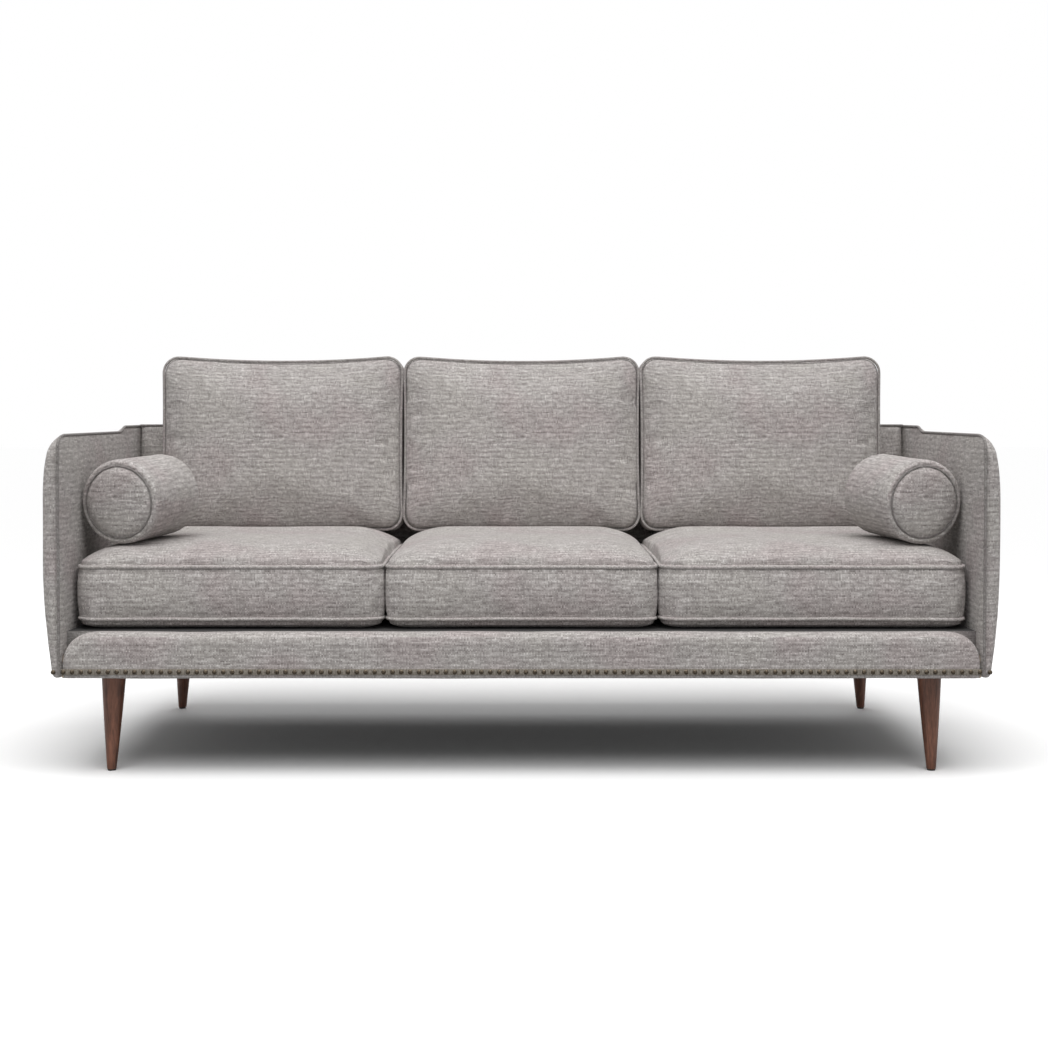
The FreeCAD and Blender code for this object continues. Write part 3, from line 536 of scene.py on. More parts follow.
# %% Seams, sides and crown
SEAM_BAND = 0.006
SEAM_PULL = 0.0045
SEAM_WIDTH = 0.0055
SEAM_REACH = 0.03
SIDE_SLACK = 0.006
SIDE_FADE = 0.03
SIDE_REACH = 0.02
CROWN_SHARE = 0.97
REAR_FADE = 0.09
REAR_WIDTH = 0.055


def way_out(point, halves, corner):
    """The level way out from a cushion's middle at a place near its edge."""
    centre = Vector((halves[0] - corner, halves[1] - corner))
    beyond = Vector((max(abs(point.x) - centre.x, 0), max(abs(point.y) - centre.y, 0)))
    if beyond.length < 1e-6:
        return Vector((0, 0, 0))
    beyond.normalize()
    return Vector((copysign(beyond.x, point.x), copysign(beyond.y, point.y), 0))


def fullness(point, halves, reach):
    """How full a pillow is at a place: 0 on its outline, 1 from the reach inwards."""
    shares = [min(max((half - abs(along))/reach, 0), 1) for half, along in zip(halves, point)]
    return prod(sqrt(1 - (1 - share)**2) for share in shares)


def pull_seams(cover, shape, low_seam, high_seam):
    """Bring the crown to its height, and draw the cloth in at the seams."""
    halves = shape["halves"]
    top = high_seam + shape["crown"]
    highest = max(vertex.co.z for vertex in cover.data.vertices)
    for vertex in cover.data.vertices:
        point = vertex.co
        if point.z > high_seam:
            point.z = high_seam + (point.z - high_seam)*(top - high_seam)/(highest - high_seam)
        near = min(abs(point.z - low_seam), abs(point.z - high_seam))
        pull = SEAM_PULL*exp(-(near/SEAM_WIDTH)**2)
        if min(halves[0] - abs(point.x), halves[1] - abs(point.y)) < SEAM_REACH:
            point -= way_out(point, halves, shape["corner"])*pull
        point.z = max(point.z, 0)


def fill_out(point, shape, low_seam, high_seam):
    """Give a point what its kind of cushion has: full sides, a level top, a full crown."""
    halves, corner = shape["halves"], shape["corner"]
    boxing_share = (point.z - low_seam)/(high_seam - low_seam)
    beside = halves[1] - corner - abs(point.y)
    near_side = beside > 0 and halves[0] - abs(point.x) < SIDE_REACH
    if shape["side_fill"] and 0 < boxing_share < 1 and near_side:
        reach = halves[0] + shape["side_fill"] - SIDE_SLACK*(2*boxing_share - 1)**2
        out = max(reach - abs(point.x), 0)*min(beside/SIDE_FADE, 1)
        point.x += copysign(out, point.x)
    if shape["level_top"]:
        sag = shape["draws"][2]*max(1 - (point.x/(halves[0] - corner))**2, 0)
        point.y = min(point.y, halves[1] - sag - 0.001)
    if point.z > high_seam:
        full = high_seam + shape["crown"]*CROWN_SHARE*fullness(point, halves, shape["crown_reach"])
        point.z += shape["full_edges"]*max(full - point.z, 0)
    if point.z < low_seam:
        smooth = low_seam*(1 - fullness(point, halves, shape["belly_reach"]))
        point.z += shape["full_edges"]*(smooth - point.z)
    if point.z > high_seam and shape["rear_rise"]:
        inward = min((halves[0] - abs(point.x))/REAR_FADE, 1)
        off = (point.y - shape["rear_place"])/REAR_WIDTH
        point.z += shape["rear_rise"]*inward*exp(-off**2)
    point.x = min(max(point.x, shape["low_limit"][0]), shape["high_limit"][0])
    point.y = min(max(point.y, shape["low_limit"][1]), shape["high_limit"][1])


# %% One cushion
CUSHION_VOXEL = 0.008
CUSHION_PRESSURE = 4.0
PANEL_FALL = 0.75
WELT_WANDER = 0.0016
PLAIN = {"puff": 0.0025, "side_fill": 0, "level_top": False, "rear_rise": 0, "full_edges": 0,
         "pressed": False}


def cushion_panels(low_seam, high_seam, top):
    """The rule of a cushion's map: the boxing by its sides, the panels from above and below."""
    def panel_rule(centre, normal):
        if low_seam < centre.z < high_seam:
            return flat_panels(centre, Vector((normal.x, normal.y, 0)))
        level = top if centre.z > high_seam else 0.0

        def spread(place, normal):
            fall = abs(level - place.z)*PANEL_FALL
            side = Vector((normal.x, normal.y))
            side = side.normalized() if side.length > 1e-4 else side
            return place.x + side.x*fall, place.y + side.y*fall
        return spread
    return panel_rule


def cushion(name, node, shape, place, seed):
    """A cover in the cushion's own frame, then brought to its place in the sofa."""
    low_seam = shape["belly"]
    high_seam = low_seam + shape["boxing"]
    cover = lofted(name, cushion_rings(shape, low_seam, high_seam))
    even_mesh(cover, CUSHION_VOXEL)

    def on_seam(point):
        return min(abs(point.z - low_seam), abs(point.z - high_seam)) < SEAM_BAND

    blow_up(cover, on_seam, CUSHION_PRESSURE, shape["cap"])
    pull_seams(cover, shape, low_seam, high_seam)
    uneven(cover, 9, 0.0008, seed)
    for vertex in cover.data.vertices:
        fill_out(vertex.co, shape, low_seam, high_seam)
    weave_map(cover, cushion_panels(low_seam, high_seam, high_seam + shape["crown"]))
    seams = []
    for level in (low_seam, high_seam):
        ring = cushion_ring(level, shape["puff"] + shape["welt_inset"], shape)
        for point in ring:
            point.z += ripple(Vector((point.x, point.y, level*9)), 11, seed)*WELT_WANDER
        seams.append(ring)
    matrix = place(cover)
    cover.data.transform(matrix)
    if shape["pressed"]:
        press_down(cover, shape["bolster"])
    seams = [[matrix @ point for point in ring] for ring in seams]
    subdivided(cover)
    dress(cover, cloth, node, node)
    # The welts take a copy of the cloth with painted light: lighter on the seats, darker on the backs.
    add_welt(name.replace("cover", "welts"), seams, node, shape["welt"], shape["welt_painted_light"])


# %% [markdown]
# ## What presses on the seats
# The back cushions stand on the rear of the seats, and the bolsters lie on the outer two. Filling
# gives way under a load, so each seat's cloth is brought down to just under what presses on it.

# %% What presses on the seats
BACK_HEIGHT = 0.421
BACK_BELLY = 0.010
BACK_BOXING = 0.096
BACK_SINK = 0.008
BOLSTER_TURN = radians(15)
BOLSTER_TILT = radians(2.2)
BOLSTER_HALF = 0.110
BOLSTER_FULLER = 0.0015
PRESS_GAP = 0.0010
PRESS_SLOPE = 0.45
back_low, back_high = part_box("back_cushion_middle")
rear_seam = back_high.y - BACK_HEIGHT*sin(LEAN) - BACK_BELLY
front_seam = rear_seam - BACK_BOXING*cos(LEAN)


def under_back(y):
    """The height of the back cushions' underside, and of their swell in front of it."""
    level = back_low.z - BACK_SINK + (rear_seam - max(y, front_seam))*tan(LEAN)
    return level - PRESS_GAP + PRESS_SLOPE*max(front_seam - y, 0)


def bolster_stand(side, sign):
    """Where a bolster lies, and its radius: its own length runs along X."""
    low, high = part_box(f"bolster_{side}")
    turned = Matrix.Rotation(pi/2 + sign*BOLSTER_TURN, 4, "Z")
    turned = turned @ Matrix.Rotation(-BOLSTER_TILT, 4, "Y")
    return Matrix.Translation((low + high)/2) @ turned, (high.z - low.z)/2 + BOLSTER_FULLER


def press_down(cover, bolster):
    """Bring a seat's crown down under the back cushion and the bolster."""
    for vertex in cover.data.vertices:
        point = vertex.co
        point.z = min(point.z, under_back(point.y))
        if bolster:
            stand, radius = bolster
            spot = stand.inverted() @ point
            reach = radius + PRESS_GAP
            if abs(spot.x) < BOLSTER_HALF and abs(spot.y) < reach and spot.length < 2*reach:
                spot.z = min(spot.z, -sqrt(reach**2 - spot.y**2))
                vertex.co = stand @ spot


# %% Seat cushions
SEAT_BELLY = 0.022
SEAT_BOXING = 0.110
SEAT_REAR_RISE = 0.006
SEAT_REAR_BEFORE = 0.020


def seat_shape(node, bolster):
    """A seat's measures. Its crown is what its solid's height leaves over the boxing."""
    low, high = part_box(node)
    size = (high - low)/2
    return dict(
        PLAIN, halves=(size.x, size.y), corner=0.034, draws=[0.004]*4, bulge=0.0,
        belly=SEAT_BELLY, belly_reach=0.050, boxing=SEAT_BOXING,
        crown=high.z - low.z - SEAT_BELLY - SEAT_BOXING, crown_reach=0.120,
        low_limit=(-size.x, -size.y - 0.003), high_limit=(size.x, size.y + 0.001),
        rear_rise=SEAT_REAR_RISE, full_edges=0.85, pressed=True, bolster=bolster,
        rear_place=back_low.y - SEAT_REAR_BEFORE - (low.y + high.y)/2,
        # Seat welts: the cloth made lighter, a painted highlight on the ridge lit from above.
        cap=0.016, welt_inset=0.0008, welt=WELT_RADIUS, welt_painted_light=piping_painted_highlight, fill=0.8)


for number, side in enumerate(("left", "middle", "right")):
    node = "seat_cushion_" + side
    low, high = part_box(node)
    middle = Vector(((low.x + high.x)/2, (low.y + high.y)/2, low.z))
    bolster = None if side == "middle" else bolster_stand(side, number - 1)
    cushion(f"seat_cover_{side}", node, seat_shape(node, bolster),
            lambda cover: Matrix.Translation(middle), seed=3.1 + 7*number)

# %% [markdown]
# ## Back cushions
# They are made the same way, lying down, and then stood up and leaned on the back. The filling has
# settled: the top edge sags between its corners, and the front is much fuller than the rear.

# %% Back cushions
BACK_CROWN = 0.042
BACK_SIDE_FILL = 0.0017


def back_shape(node):
    """A back cushion's measures, as it lies on its rear."""
    low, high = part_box(node)
    half, tall = (high.x - low.x)/2, BACK_HEIGHT/2
    return dict(
        PLAIN, halves=(half, tall), corner=0.036, draws=[0.0015, 0.003, 0.011, 0.003],
        belly=BACK_BELLY, belly_reach=0.110, boxing=BACK_BOXING, bulge=0.0016,
        crown=BACK_CROWN, crown_reach=0.110, side_fill=BACK_SIDE_FILL, level_top=True,
        low_limit=(-half - BACK_SIDE_FILL, -tall), high_limit=(half + BACK_SIDE_FILL, tall),
        # Back welts: the cloth made darker, painted shade along the cushion's edges.
        cap=0.014, welt_inset=-0.0018, welt=0.0031, welt_painted_light=piping_painted_shade, fill=0.75)


def lean_back(node):
    """Stand a lying cushion up at its solid's place."""
    low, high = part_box(node)

    def place(cover):
        stand = Matrix.Rotation(pi/2 - LEAN, 4, "X")
        corners = [stand @ vertex.co for vertex in cover.data.vertices]
        rear = max(corner.y for corner in corners)
        foot = min(corner.z for corner in corners)
        shift = Vector(((low.x + high.x)/2, high.y - rear, low.z - foot - BACK_SINK))
        return Matrix.Translation(shift) @ stand
    return place


for number, side in enumerate(("left", "middle", "right")):
    node = "back_cushion_" + side
    cushion(f"back_cover_{side}", node, back_shape(node), lean_back(node), seed=31.3 + 5*number)

# %% [markdown]
# ## Bolsters
# A bolster is a tube of cloth with a round cap sewn in at each end, over a firm core. A profile is
# turned round the axis; the seam ring lies inside the soft rim, as on the sofa.

# %% Bolsters
BOLSTER_RIM = 0.020
RIM_SETBACK = 0.008
CAP_SEAM = 0.850
CAP_DENT = 0.003
CAP_DENT_WIDTH = 0.0045
BOLSTER_STEPS = 60
CAP_SEAM_STEPS = 48


def bolster_profile(radius, seam_radius, rim_x):
    """Half of a bolster's outline, from the middle of its cap over the rim."""
    half = BOLSTER_HALF
    profile = [(half, 0.0), (half - 0.0004, seam_radius*0.5), (half - 0.003, seam_radius*0.85),
               (rim_x - 0.001, seam_radius)]
    for angle in (20, 45, 70, 90):
        turn = radians(angle)
        profile.append((rim_x + 0.003 - BOLSTER_RIM*(1 - cos(turn))*0.9,
                        seam_radius + (radius - seam_radius)*sin(turn)))
    return profile + [(half*0.5, radius)]


def tube_panels(radius):
    """The rule of a bolster's map: the caps flat, the tube unrolled."""
    def panel_rule(middle, normal):
        if abs(normal.x) > 0.75:
            return lambda place, normal: (place.y, place.z)
        base = atan2(middle.z, middle.y)

        def wrap(place, normal):
            angle = atan2(place.z, place.y)
            if angle - base > pi:
                angle -= 2*pi
            if base - angle > pi:
                angle += 2*pi
            return place.x, angle*radius
        return wrap
    return panel_rule


def add_bolster(side, sign):
    """A bolster's cover and the seam round each cap."""
    node = f"bolster_{side}"
    matrix, radius = bolster_stand(side, sign)
    seam_radius = radius*CAP_SEAM
    rim_x = BOLSTER_HALF - RIM_SETBACK
    profile = bolster_profile(radius, seam_radius, rim_x)
    whole = profile + [(-x, around) for x, around in reversed(profile)]
    points = [(x, 0, around) for x, around in whole]
    cover = spun(f"bolster_cover_{side}", points, (1, 0, 0), BOLSTER_STEPS, 1e-5)
    even_mesh(cover, 0.006)

    def on_seam(point):
        off = max(abs(abs(point.x) - rim_x), abs(hypot(point.y, point.z) - seam_radius))
        return off < SEAM_BAND

    blow_up(cover, on_seam, 3.0, 0.003)
    for vertex in cover.data.vertices:
        point = vertex.co
        around = hypot(point.y, point.z)
        if around > radius:
            point.y *= radius/around
            point.z *= radius/around
        off = hypot(abs(point.x) - rim_x, around - seam_radius)
        point.x -= copysign(CAP_DENT*exp(-(off/CAP_DENT_WIDTH)**2), point.x)
    uneven(cover, 14, 0.0009, 50 + sign)
    weave_map(cover, tube_panels(radius))
    cover.data.transform(matrix)
    turns = [2*pi*step/CAP_SEAM_STEPS for step in range(CAP_SEAM_STEPS)]
    circle = [(seam_radius*cos(turn), seam_radius*sin(turn)) for turn in turns]
    rings = [[matrix @ Vector((end*(rim_x - 0.0012), *spot)) for spot in circle] for end in (-1, 1)]
    subdivided(cover)
    dress(cover, cloth, node, node)
    # The cap seams are the cloth at half its lightness: painted shade in the seam.
    add_welt(f"bolster_seams_{side}", rings, node, radius=0.0022, material=seam_painted_shade)


for side, sign in (("left", -1), ("right", 1)):
    add_bolster(side, sign)

# %% [markdown]
# ## Arms
# Each arm is a thin padded panel. Seen from the front its inner face is straight and its outer face
# swells, then rolls over the top; the outer cloth also rolls round the front edge to the welt. Rings
# across the arm, from front to back, follow arcs for the foot, shoulder and crest.

# %% Arm rings
def arc(start, end, radius, steps):
    """Points after start along an arc to end, whose centre lies on the left."""
    chord = end - start
    off = sqrt(max(radius**2 - (chord.length/2)**2, 0))
    centre = (start + end)/2 + Vector((-chord.y, chord.x)).normalized()*off
    first = atan2(start.y - centre.y, start.x - centre.x)
    last = atan2(end.y - centre.y, end.x - centre.x)
    sweep = (last - first + pi) % (2*pi) - pi
    angles = [first + sweep*step/steps for step in range(1, steps + 1)]
    return [centre + Vector((cos(angle), sin(angle)))*radius for angle in angles]


ARM_EDGE = 0.007
ARM_FOOT_DRAW = 0.020
BELLY_LOW = 0.451
BELLY_HIGH = 0.582
SHOULDER = 0.661
SHOULDER_DRAW = 0.007
CREST_RADIUS = 0.060
ARM_ROUND = 0.028
REAR_ROUND = 0.018
FRONT_CORNER = 0.032
CORNER_SHARE = 0.75
STEP_START = 0.515
STEP_RUN = 0.050
RING_SPACING = 0.012


def arm_ring(y, full, top):
    """One cut across the right arm, from its inner foot outwards and over the top."""
    edge = ARM_INNER + ARM_EDGE*(1 if full else 0.08)

    def mixed(near, far):
        return near + (far - near)*full

    foot = Vector((mixed(ARM_INNER + (edge - ARM_INNER)*0.6, ARM_OUTER - ARM_FOOT_DRAW), BASE))
    low = Vector((mixed(edge, ARM_OUTER), BELLY_LOW))
    high = Vector((low.x, BELLY_HIGH))
    shoulder_height = min(SHOULDER, top - 0.026)
    shoulder = Vector((mixed(edge - 0.0005, ARM_OUTER - SHOULDER_DRAW), shoulder_height))
    crest = Vector((ARM_INNER + (0.003 if full else 0.0008), top - 0.004*(1 - full)))
    inner_top = Vector((ARM_INNER, crest.y - 0.003))
    low_rise, high_rise = BELLY_LOW - BASE, shoulder_height - BELLY_HIGH
    low_out = max(low.x - foot.x, 1e-5)
    high_out = max(high.x - shoulder.x, 1e-5)
    ring = [foot]
    ring += arc(foot, low, (low_rise**2 + low_out**2)/(2*low_out), 10)
    ring += [low.lerp(high, step/4) for step in (1, 2, 3, 4)]
    ring += arc(high, shoulder, (high_rise**2 + high_out**2)/(2*high_out), 5)
    width = (crest - shoulder).length
    ring += arc(shoulder, crest, max(mixed(CREST_RADIUS*2.4, CREST_RADIUS), width*0.55), 8)
    ring.append(inner_top)
    heights = [inner_top.y + (BASE - inner_top.y)*step/14 for step in range(1, 14)]
    ring += [Vector((ARM_INNER, height)) for height in heights + [BASE]]
    return [Vector((point.x, y, point.y)) for point in ring]


def arm_top(y):
    """The arm's top edge seen from the side: a round front corner, then an S-shaped step up."""
    from_front = y - FRONT
    corner = max(FRONT_CORNER - from_front, 0)/FRONT_CORNER
    drop = FRONT_CORNER*CORNER_SHARE*(1 - sqrt(max(1 - corner**2, 0)))
    climb = min(max((from_front - STEP_START)/STEP_RUN, 0), 1)
    return ARM_TOP - drop + ARM_STEP_RISE*(1 - cos(pi*climb))/2


def arm_rings():
    """The cuts from the front edge's roll to the rear's."""
    rings = [arm_ring(FRONT + 0.0012, 0, arm_top(FRONT) - 0.001)]
    for angle in (0, 12, 25, 40, 55, 72, 90):
        turn = radians(angle)
        y = FRONT + ARM_ROUND*(1 - cos(turn))
        rings.append(arm_ring(y, max(sin(turn), 0.001), arm_top(y)))
    y = FRONT + ARM_ROUND
    while y < BACK - REAR_ROUND - 0.01:
        y += RING_SPACING
        rings.append(arm_ring(y, 1, arm_top(y)))
    for angle in (75, 55, 38, 20):
        turn = radians(angle)
        y = BACK - REAR_ROUND*(1 - cos(turn))
        y = max(y, rings[-1][0].y + 0.001)
        rings.append(arm_ring(y, 0.45 + 0.55*sin(turn), arm_top(BACK)))
    return rings


# %% Arms
ARM_VOXEL = 0.0066
INNER_PUFF = 0.006
CREVICE_WIDTH = 0.024
CREVICE_FILL = 0.0008
FRONT_SEAM_PULL = 0.0035
ARM_WELT_X = ARM_INNER + 0.0025
ARM_WELT_RADIUS = 0.0030


def back_face(z):
    """Where the raked front of the inside back stands at a height."""
    return inside_low.y + (z - inside_low.z)*tan(LEAN)


def arm_welt_path():
    """The right arm's welt: up the front edge, round its corner and back along the top."""
    path = [Vector((ARM_WELT_X, FRONT - 0.0005, BASE + 0.004 + 0.02*step)) for step in range(22)]
    path = [point for point in path if point.z < ARM_TOP - FRONT_CORNER*1.2]
    rise = FRONT_CORNER*CORNER_SHARE
    for angle in range(0, 91, 15):
        turn = radians(angle)
        path.append(Vector((ARM_WELT_X, FRONT + FRONT_CORNER*(1 - cos(turn)),
                            ARM_TOP - rise - 0.004 + (rise + 0.001)*sin(turn))))
    y = FRONT + FRONT_CORNER
    while y < BACK - REAR_ROUND - RING_SPACING:
        y += RING_SPACING
        path.append(Vector((ARM_INNER + 0.002, y, arm_top(y) - 0.001)))
    return path


def arm(side, sign):
    """An arm's cover, filled out towards the seats, and its welt; the left one is mirrored."""
    cover = lofted(f"arm_cover_{side}", arm_rings())
    even_mesh(cover, ARM_VOXEL)
    for vertex in cover.data.vertices:
        point = vertex.co
        inner = max(0, 1 - (point.x - ARM_INNER)/0.004)
        ends = min(1, (point.y - FRONT)/0.12, (ARM_TOP - point.z)/0.08)
        before = max(back_face(point.z) - point.y, 0)
        filled = INNER_PUFF*sin(max(ends, 0)*pi/2)
        filled *= 1 - exp(-(before/CREVICE_WIDTH)**2)
        point.x -= inner*max(filled, CREVICE_FILL*max(ends, 0))
        beside = (point.x - ARM_INNER - 0.0025)/0.006
        point.y += FRONT_SEAM_PULL*exp(-beside**2 - ((point.y - FRONT)/0.008)**2)
    uneven(cover, 6, 0.0009, 80 + sign)
    if sign < 0:
        cover.data.transform(Matrix.Scale(-1, 4, (1, 0, 0)))
        cover.data.flip_normals()
    weave_map(cover, flat_panels)
    subdivided(cover)
    dress(cover, cloth, "frame", f"arm_{side}")
    seam = [Vector((sign*point.x, point.y, point.z)) for point in arm_welt_path()]
    # The arm's welt is the cloth made much darker: painted shade along the front and top edge.
    add_welt(f"arm_welt_{side}", [seam], "frame", ARM_WELT_RADIUS, piping_painted_deep_shade, closed=False)


for side, sign in (("left", -1), ("right", 1)):
    arm(side, sign)

# %% [markdown]
# ## The back
# The inside back is one padded cloth over the webbing and the top rail, with a welt along its upper
# front edge. The outside back is a panel of cloth pulled over the frame, with a slight pillow
# between thin seams.

# %% Inside and outside back
END_ROUND = 0.016
BACK_ROUND = 0.009
BACK_THICK = 0.030
OUTER_WELT_INSET = 0.002


def back_profile():
    """The inside back cut across, from its foot up the front and over the top."""
    foot, top = inside_low.z, inside_high.z
    face_high = top - BACK_ROUND
    heights = [foot + (face_high - foot)*step/16 for step in range(17)]
    front = [(back_face(z), z) for z in heights]
    turns = [radians(angle) for angle in (30, 60, 90)]
    over = [(front[-1][0] + BACK_ROUND*(1 - cos(turn)), front[-1][1] + BACK_ROUND*sin(turn))
            for turn in turns]
    rear = [(BACK - 0.009, top), (BACK - 0.003, top - 0.003), (BACK, top - 0.009), (BACK, top - 0.010)]
    under = [(back_face(top - 0.010) + BACK_THICK, top - 0.010), (inside_low.y + BACK_THICK, foot)]
    return front + over + rear + under


stations = [-CLEAR_HALF + 2*CLEAR_HALF*step/24 for step in range(25)]
inside = lofted("back_inside_cover", [[Vector((x, *spot)) for spot in back_profile()] for x in stations])
even_mesh(inside, 0.008)
for vertex in inside.data.vertices:
    point = vertex.co
    beyond = min(max(abs(point.x) - (CLEAR_HALF - END_ROUND), 0)/END_ROUND, 1)
    depth = max(1 - (point.y - back_face(point.z))/0.03, 0)
    point.y += END_ROUND*0.8*(1 - sqrt(1 - beyond**2))*min(depth, 1)
uneven(inside, 7, 0.001, 120)
weave_map(inside, flat_panels)
dress(inside, cloth, "frame", "back_inside")
edge_y = back_face(inside_high.z - BACK_ROUND) + 0.004
edge_path = [Vector((x, edge_y, inside_high.z - 0.0015)) for x in stations]
# This welt is the cloth made much darker: painted shade along the back's top edge.
add_welt("back_top_welt", [edge_path], "frame", ARM_WELT_RADIUS, piping_painted_deep_shade, closed=False)

bm = bmesh.new()
size = outside_high - outside_low
middle = (outside_low + outside_high)/2
stand = Matrix.Rotation(pi/2, 4, "X") @ Matrix.Diagonal((size.x, size.z, 1, 1))
stand = Matrix.Translation((middle.x, outside_high.y - 0.001, middle.z)) @ stand
bmesh.ops.create_grid(bm, x_segments=60, y_segments=16, size=0.5, matrix=stand)
grown = bmesh.ops.extrude_face_region(bm, geom=bm.faces[:])
moved = [item for item in grown["geom"] if isinstance(item, bmesh.types.BMVert)]
bmesh.ops.translate(bm, vec=(0, outside_low.y - outside_high.y + 0.001, 0), verts=moved)
panel = add_object("back_outside_cover", bm)
for vertex in panel.data.vertices:
    point = vertex.co
    inset = min(size.x/2 - abs(point.x), point.z - outside_low.z, outside_high.z - point.z)
    if point.y > middle.y:
        point.y += 0.004*(1 - exp(-inset/0.03)) - 0.002 + ripple(point, 5, 140)*0.0008
weave_map(panel, flat_panels)
subdivided(panel)
dress(panel, cloth, "frame", "back_outside")
side, foot, top = size.x/2 - OUTER_WELT_INSET, outside_low.z + 0.006, outside_high.z - OUTER_WELT_INSET
rim = [Vector((x, BACK - 0.001, z)) for x, z in ((-side, foot), (-side, top), (side, top), (side, foot))]
rim = [a.lerp(b, step/20) for a, b in zip(rim, rim[1:]) for step in range(21)]
# This welt is the cloth made darker: painted shade round the outside back.
add_welt("back_outer_welt", [rim], "frame", 0.0025, piping_painted_shade, closed=False)

# %% [markdown]
# ## Front border, braid and nailheads
# The border is padded cloth over the front rail, with round upper corners and a soft upper edge. A
# close row of domed nails tacks a flat braid along its foot, and one nail holds each arm's cloth.

# %% Border
BORDER_CORNER = 0.062
BORDER_EDGE = 0.018
BORDER_END_SHARE = 0.5


def border_ring(y, draw):
    """One outline of the border, drawn in from its full size."""
    reach, top = CLEAR_HALF - draw*BORDER_END_SHARE, border_high.z - draw
    corner = BORDER_CORNER
    ring = [Vector((-reach + 2*reach*step/40, y, BASE)) for step in range(41)]
    for sign, angles in ((1, (0, 90)), (-1, (90, 0))):
        for step in range(9):
            angle = radians(angles[0] + (angles[1] - angles[0])*step/8)
            ring.append(Vector((sign*(reach - corner + corner*cos(angle)), y,
                                top - corner + corner*sin(angle))))
        if sign > 0:
            flat = reach - corner
            ring += [Vector((flat - 2*flat*step/40, y, top)) for step in range(1, 40)]
    return ring


rings = []
for angle in (0, 30, 60, 90):
    turn = radians(angle)
    rings.append(border_ring(FRONT + BORDER_EDGE*(1 - cos(turn)), BORDER_EDGE*(1 - sin(turn))))
rings.append(border_ring(rail_high.y - 0.002, 0))
border = lofted("border_cover", rings)
even_mesh(border, 0.006)
uneven(border, 8, 0.0012, 160)
weave_map(border, flat_panels)
subdivided(border)
dress(border, cloth, "frame", "front_border")

# %% Deck cloth
FLAP_WIDTH = 0.080
CLOTH_THICKNESS = 0.0014


def add_box(bm, low, high):
    """Add a box between two corners."""
    matrix = Matrix.Translation((low + high)/2) @ Matrix.Diagonal((*(high - low), 1))
    bmesh.ops.create_cube(bm, size=1, matrix=matrix)


bm = bmesh.new()
for sign in (-1, 1):
    near, far = sorted((sign*(CLEAR_HALF - FLAP_WIDTH), sign*(CLEAR_HALF - 0.0003)))
    add_box(bm, Vector((near, rail_high.y - CLOTH_THICKNESS - 0.0002, rail_low.z)),
            Vector((far, rail_high.y - 0.0002, deck_high.z)))
flaps = add_object("deck_flaps", bm)
weave_map(flaps, flat_panels)
# The flaps are the cloth at half its lightness: painted shade behind the border's corners.
dress(flaps, seam_painted_shade, "frame")

# %% Braid
BRAID_HEIGHT = 0.0125
BRAID_BASE = BASE + 0.0085
NAIL_ROW = BASE + 0.0148
bm = bmesh.new()
add_box(bm, Vector((0.002 - CLEAR_HALF, FRONT - 0.0014, BRAID_BASE)),
        Vector((CLEAR_HALF - 0.002, FRONT + 0.0002, BRAID_BASE + BRAID_HEIGHT)))
bmesh.ops.bevel(bm, geom=bm.edges[:], offset=0.0006, segments=2, profile=0.5, affect="EDGES",
                material=-1)
braid = add_object("nail_braid", bm)
dress(braid, gimp, "frame")

# %% Nailheads
NAIL_RADIUS = 0.0051
NAIL_HEIGHT = 0.55
NAIL_COUNT = 104
NAIL_REACH = 0.9477


def dome(bm, place):
    """A low dome that looks to the front."""
    flat = Matrix.Rotation(pi/2, 4, "X") @ Matrix.Diagonal((1, 1, NAIL_HEIGHT, 1))
    made = bmesh.ops.create_uvsphere(bm, u_segments=10, v_segments=6, radius=NAIL_RADIUS,
                                     matrix=Matrix.Translation(place) @ flat)
    hidden = [vertex for vertex in made["verts"] if vertex.co.y > place.y + 0.0004]
    bmesh.ops.delete(bm, geom=hidden, context="VERTS")


bm = bmesh.new()
for number in range(NAIL_COUNT):
    x = -NAIL_REACH + 2*NAIL_REACH*number/(NAIL_COUNT - 1)
    dome(bm, Vector((x, FRONT - 0.0012, NAIL_ROW)))
for sign in (-1, 1):
    dome(bm, Vector((sign*(ARM_INNER + 0.0155), FRONT + 0.0018, NAIL_ROW - 0.001)))
nails = add_object("nailheads", bm)
dress(nails, bronze, "frame", slot="nail_bronze")
print(NAIL_COUNT + 2, "nailheads")

# %% [markdown]
# ## Legs
# Each leg is spun upright from a profile, as on a lathe, with a small round at the foot. It is then
# sheared outwards, because its two ends are sawn level.

# %% Legs
LEG_SPLAY = 0.006
FOOT_RADIUS = 0.010
TOP_RADIUS = 0.0255
FOOT_ROUND = 0.0016
LEG_STEPS = 64


def leg(corner):
    """A leg from its profile, sheared outwards at its foot."""
    node = "leg_" + corner
    low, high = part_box(node)
    height = high.z - low.z
    side = 1 if low.x > 0 else -1
    axis_x = (high.x - TOP_RADIUS if side < 0 else low.x + TOP_RADIUS)
    axis_y = (low.y + high.y)/2
    profile = [(0, 0), (FOOT_RADIUS - FOOT_ROUND, 0), (FOOT_RADIUS - 0.0005, 0.0005),
               (FOOT_RADIUS, FOOT_ROUND)]
    for share in [step/8 for step in range(1, 9)]:
        swell = 0.0006*sin(pi*share)
        profile.append((FOOT_RADIUS + (TOP_RADIUS - FOOT_RADIUS)*share + swell,
                        FOOT_ROUND + (height - FOOT_ROUND)*share))
    profile.append((0, height))
    points = [(radius, 0, z) for radius, z in profile]
    made = spun(f"turned_leg_{corner}", points, (0, 0, 1), LEG_STEPS, 1e-6)
    for vertex in made.data.vertices:
        splay = side*LEG_SPLAY*(height - vertex.co.z)/height
        vertex.co += Vector((axis_x + splay, axis_y, low.z))
    dress(made, leg_wood, "frame", node, slot="leg_wood")
    made.data.set_sharp_from_angle(angle=radians(50))


for corner in ("front_left", "front_right", "rear_left", "rear_right"):
    leg(corner)

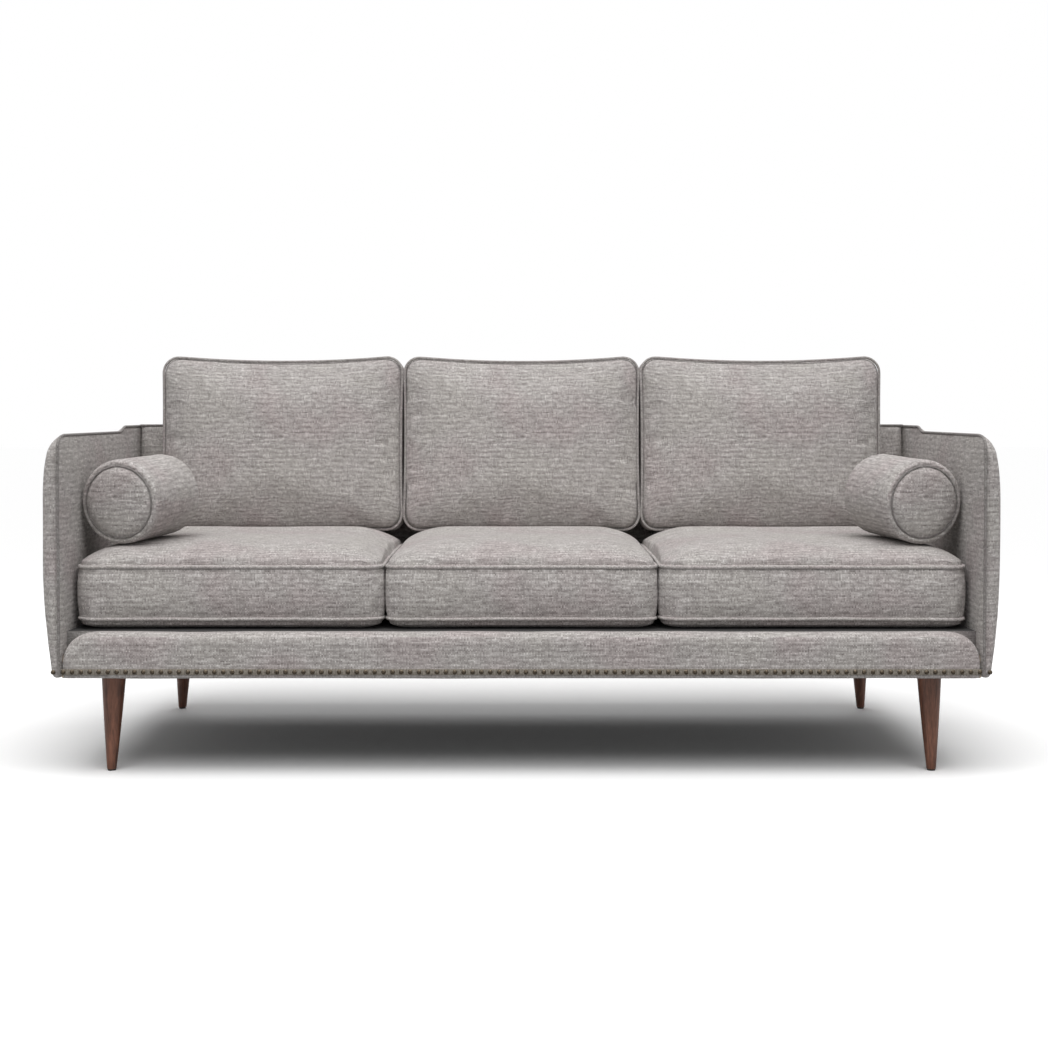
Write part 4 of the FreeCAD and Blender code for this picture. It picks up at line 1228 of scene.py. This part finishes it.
# %% [markdown]
# ## Studio
# The sofa stands on a white floor in a white surround. One very soft sun, high and a little to the
# front, gives the pale seats and the shadow under the sofa. A wide panel above the front lights the
# back cushions, and one behind keeps the floor there white. The floor throws back less light than
# the camera sees in it, so that the faces keep their depth. The camera stands on the middle line, a
# little above the arms, with a long lens.

# %% Floor and surround
WHITE = (1, 1, 1, 1)
FLOOR_BOUNCE = 0.42
SURROUND_LIGHT = 0.34
bm = bmesh.new()
bmesh.ops.create_grid(bm, x_segments=1, y_segments=1, size=30)
floor = add_object("floor", bm)
floor_material, tree, shader = new_material("floor_white", Roughness=1.0, Specular_IOR_Level=0.0)
seen = make(tree, "ShaderNodeLightPath").outputs["Is Camera Ray"]
floor_colour = make(tree, "ShaderNodeMix", {0: seen, 6: (*[FLOOR_BOUNCE]*3, 1), 7: WHITE},
                    data_type="RGBA").outputs[2]
tree.links.new(floor_colour, shader.inputs["Base Color"])
floor.data.materials.append(floor_material)

world = bpy.data.worlds.new("studio")
bpy.context.scene.world = world
world.use_nodes = True
tree = world.node_tree
tree.nodes.clear()
light_path = make(tree, "ShaderNodeLightPath")
seen = calc("MAXIMUM", light_path.outputs["Is Camera Ray"], light_path.outputs["Is Glossy Ray"])
seen = calc("MAXIMUM", seen, light_path.outputs["Is Transmission Ray"])
dim = make(tree, "ShaderNodeBackground", {"Color": WHITE, "Strength": SURROUND_LIGHT})
bright = make(tree, "ShaderNodeBackground", {"Color": WHITE, "Strength": 1.0})
mixed_light = make(tree, "ShaderNodeMixShader", {0: seen, 1: dim.outputs[0], 2: bright.outputs[0]})
make(tree, "ShaderNodeOutputWorld", {"Surface": mixed_light.outputs[0]})

# %% Lamps
sun = bpy.data.lights.new("soft_sun", "SUN")
sun.energy = 2.2
sun.angle = radians(60)
lamp = put_in_scene("soft_sun", sun)
lamp.rotation_euler = (radians(22), 0, 0)
PANEL_WIDTH = 3.4


def panel_lamp(name, place, target, depth, energy):
    """A wide soft lamp that looks at a target."""
    light = bpy.data.lights.new(name, "AREA")
    light.shape = "RECTANGLE"
    light.size, light.size_y = PANEL_WIDTH, depth
    light.energy = energy
    made = put_in_scene(name, light)
    made.location = place
    made.rotation_euler = (Vector(target) - made.location).to_track_quat("-Z", "Y").to_euler()
    made.visible_camera = False


panel_lamp("lamp_above", (0, -1.2, 2.6), target=(0, 0, 0.4), depth=1.0, energy=19)
panel_lamp("lamp_behind", (0, 1.9, 1.6), target=(0, 0.8, 0), depth=0.8, energy=17)

# %% Camera
FOCAL_PIXELS = 1602
PICTURE = 1048
HORIZON_ROW = 411.4
MIDDLE_COLUMN = 521.5
CAMERA_PITCH = radians(1.5)
CAMERA_PLACE = (0, -3.73, 0.7596)
SENSOR = 36
camera_data = bpy.data.cameras.new("camera")
camera_data.sensor_width = SENSOR
camera_data.lens = SENSOR*FOCAL_PIXELS/PICTURE
camera_data.shift_x = (PICTURE/2 - MIDDLE_COLUMN)/PICTURE
camera_data.shift_y = -(PICTURE/2 - HORIZON_ROW - FOCAL_PIXELS*tan(CAMERA_PITCH))/PICTURE
camera = put_in_scene("camera", camera_data)
camera.location = CAMERA_PLACE
camera.rotation_euler = (pi/2 - CAMERA_PITCH, 0, 0)
bpy.context.scene.camera = camera
bpy.context.scene.view_settings.view_transform = "Standard"
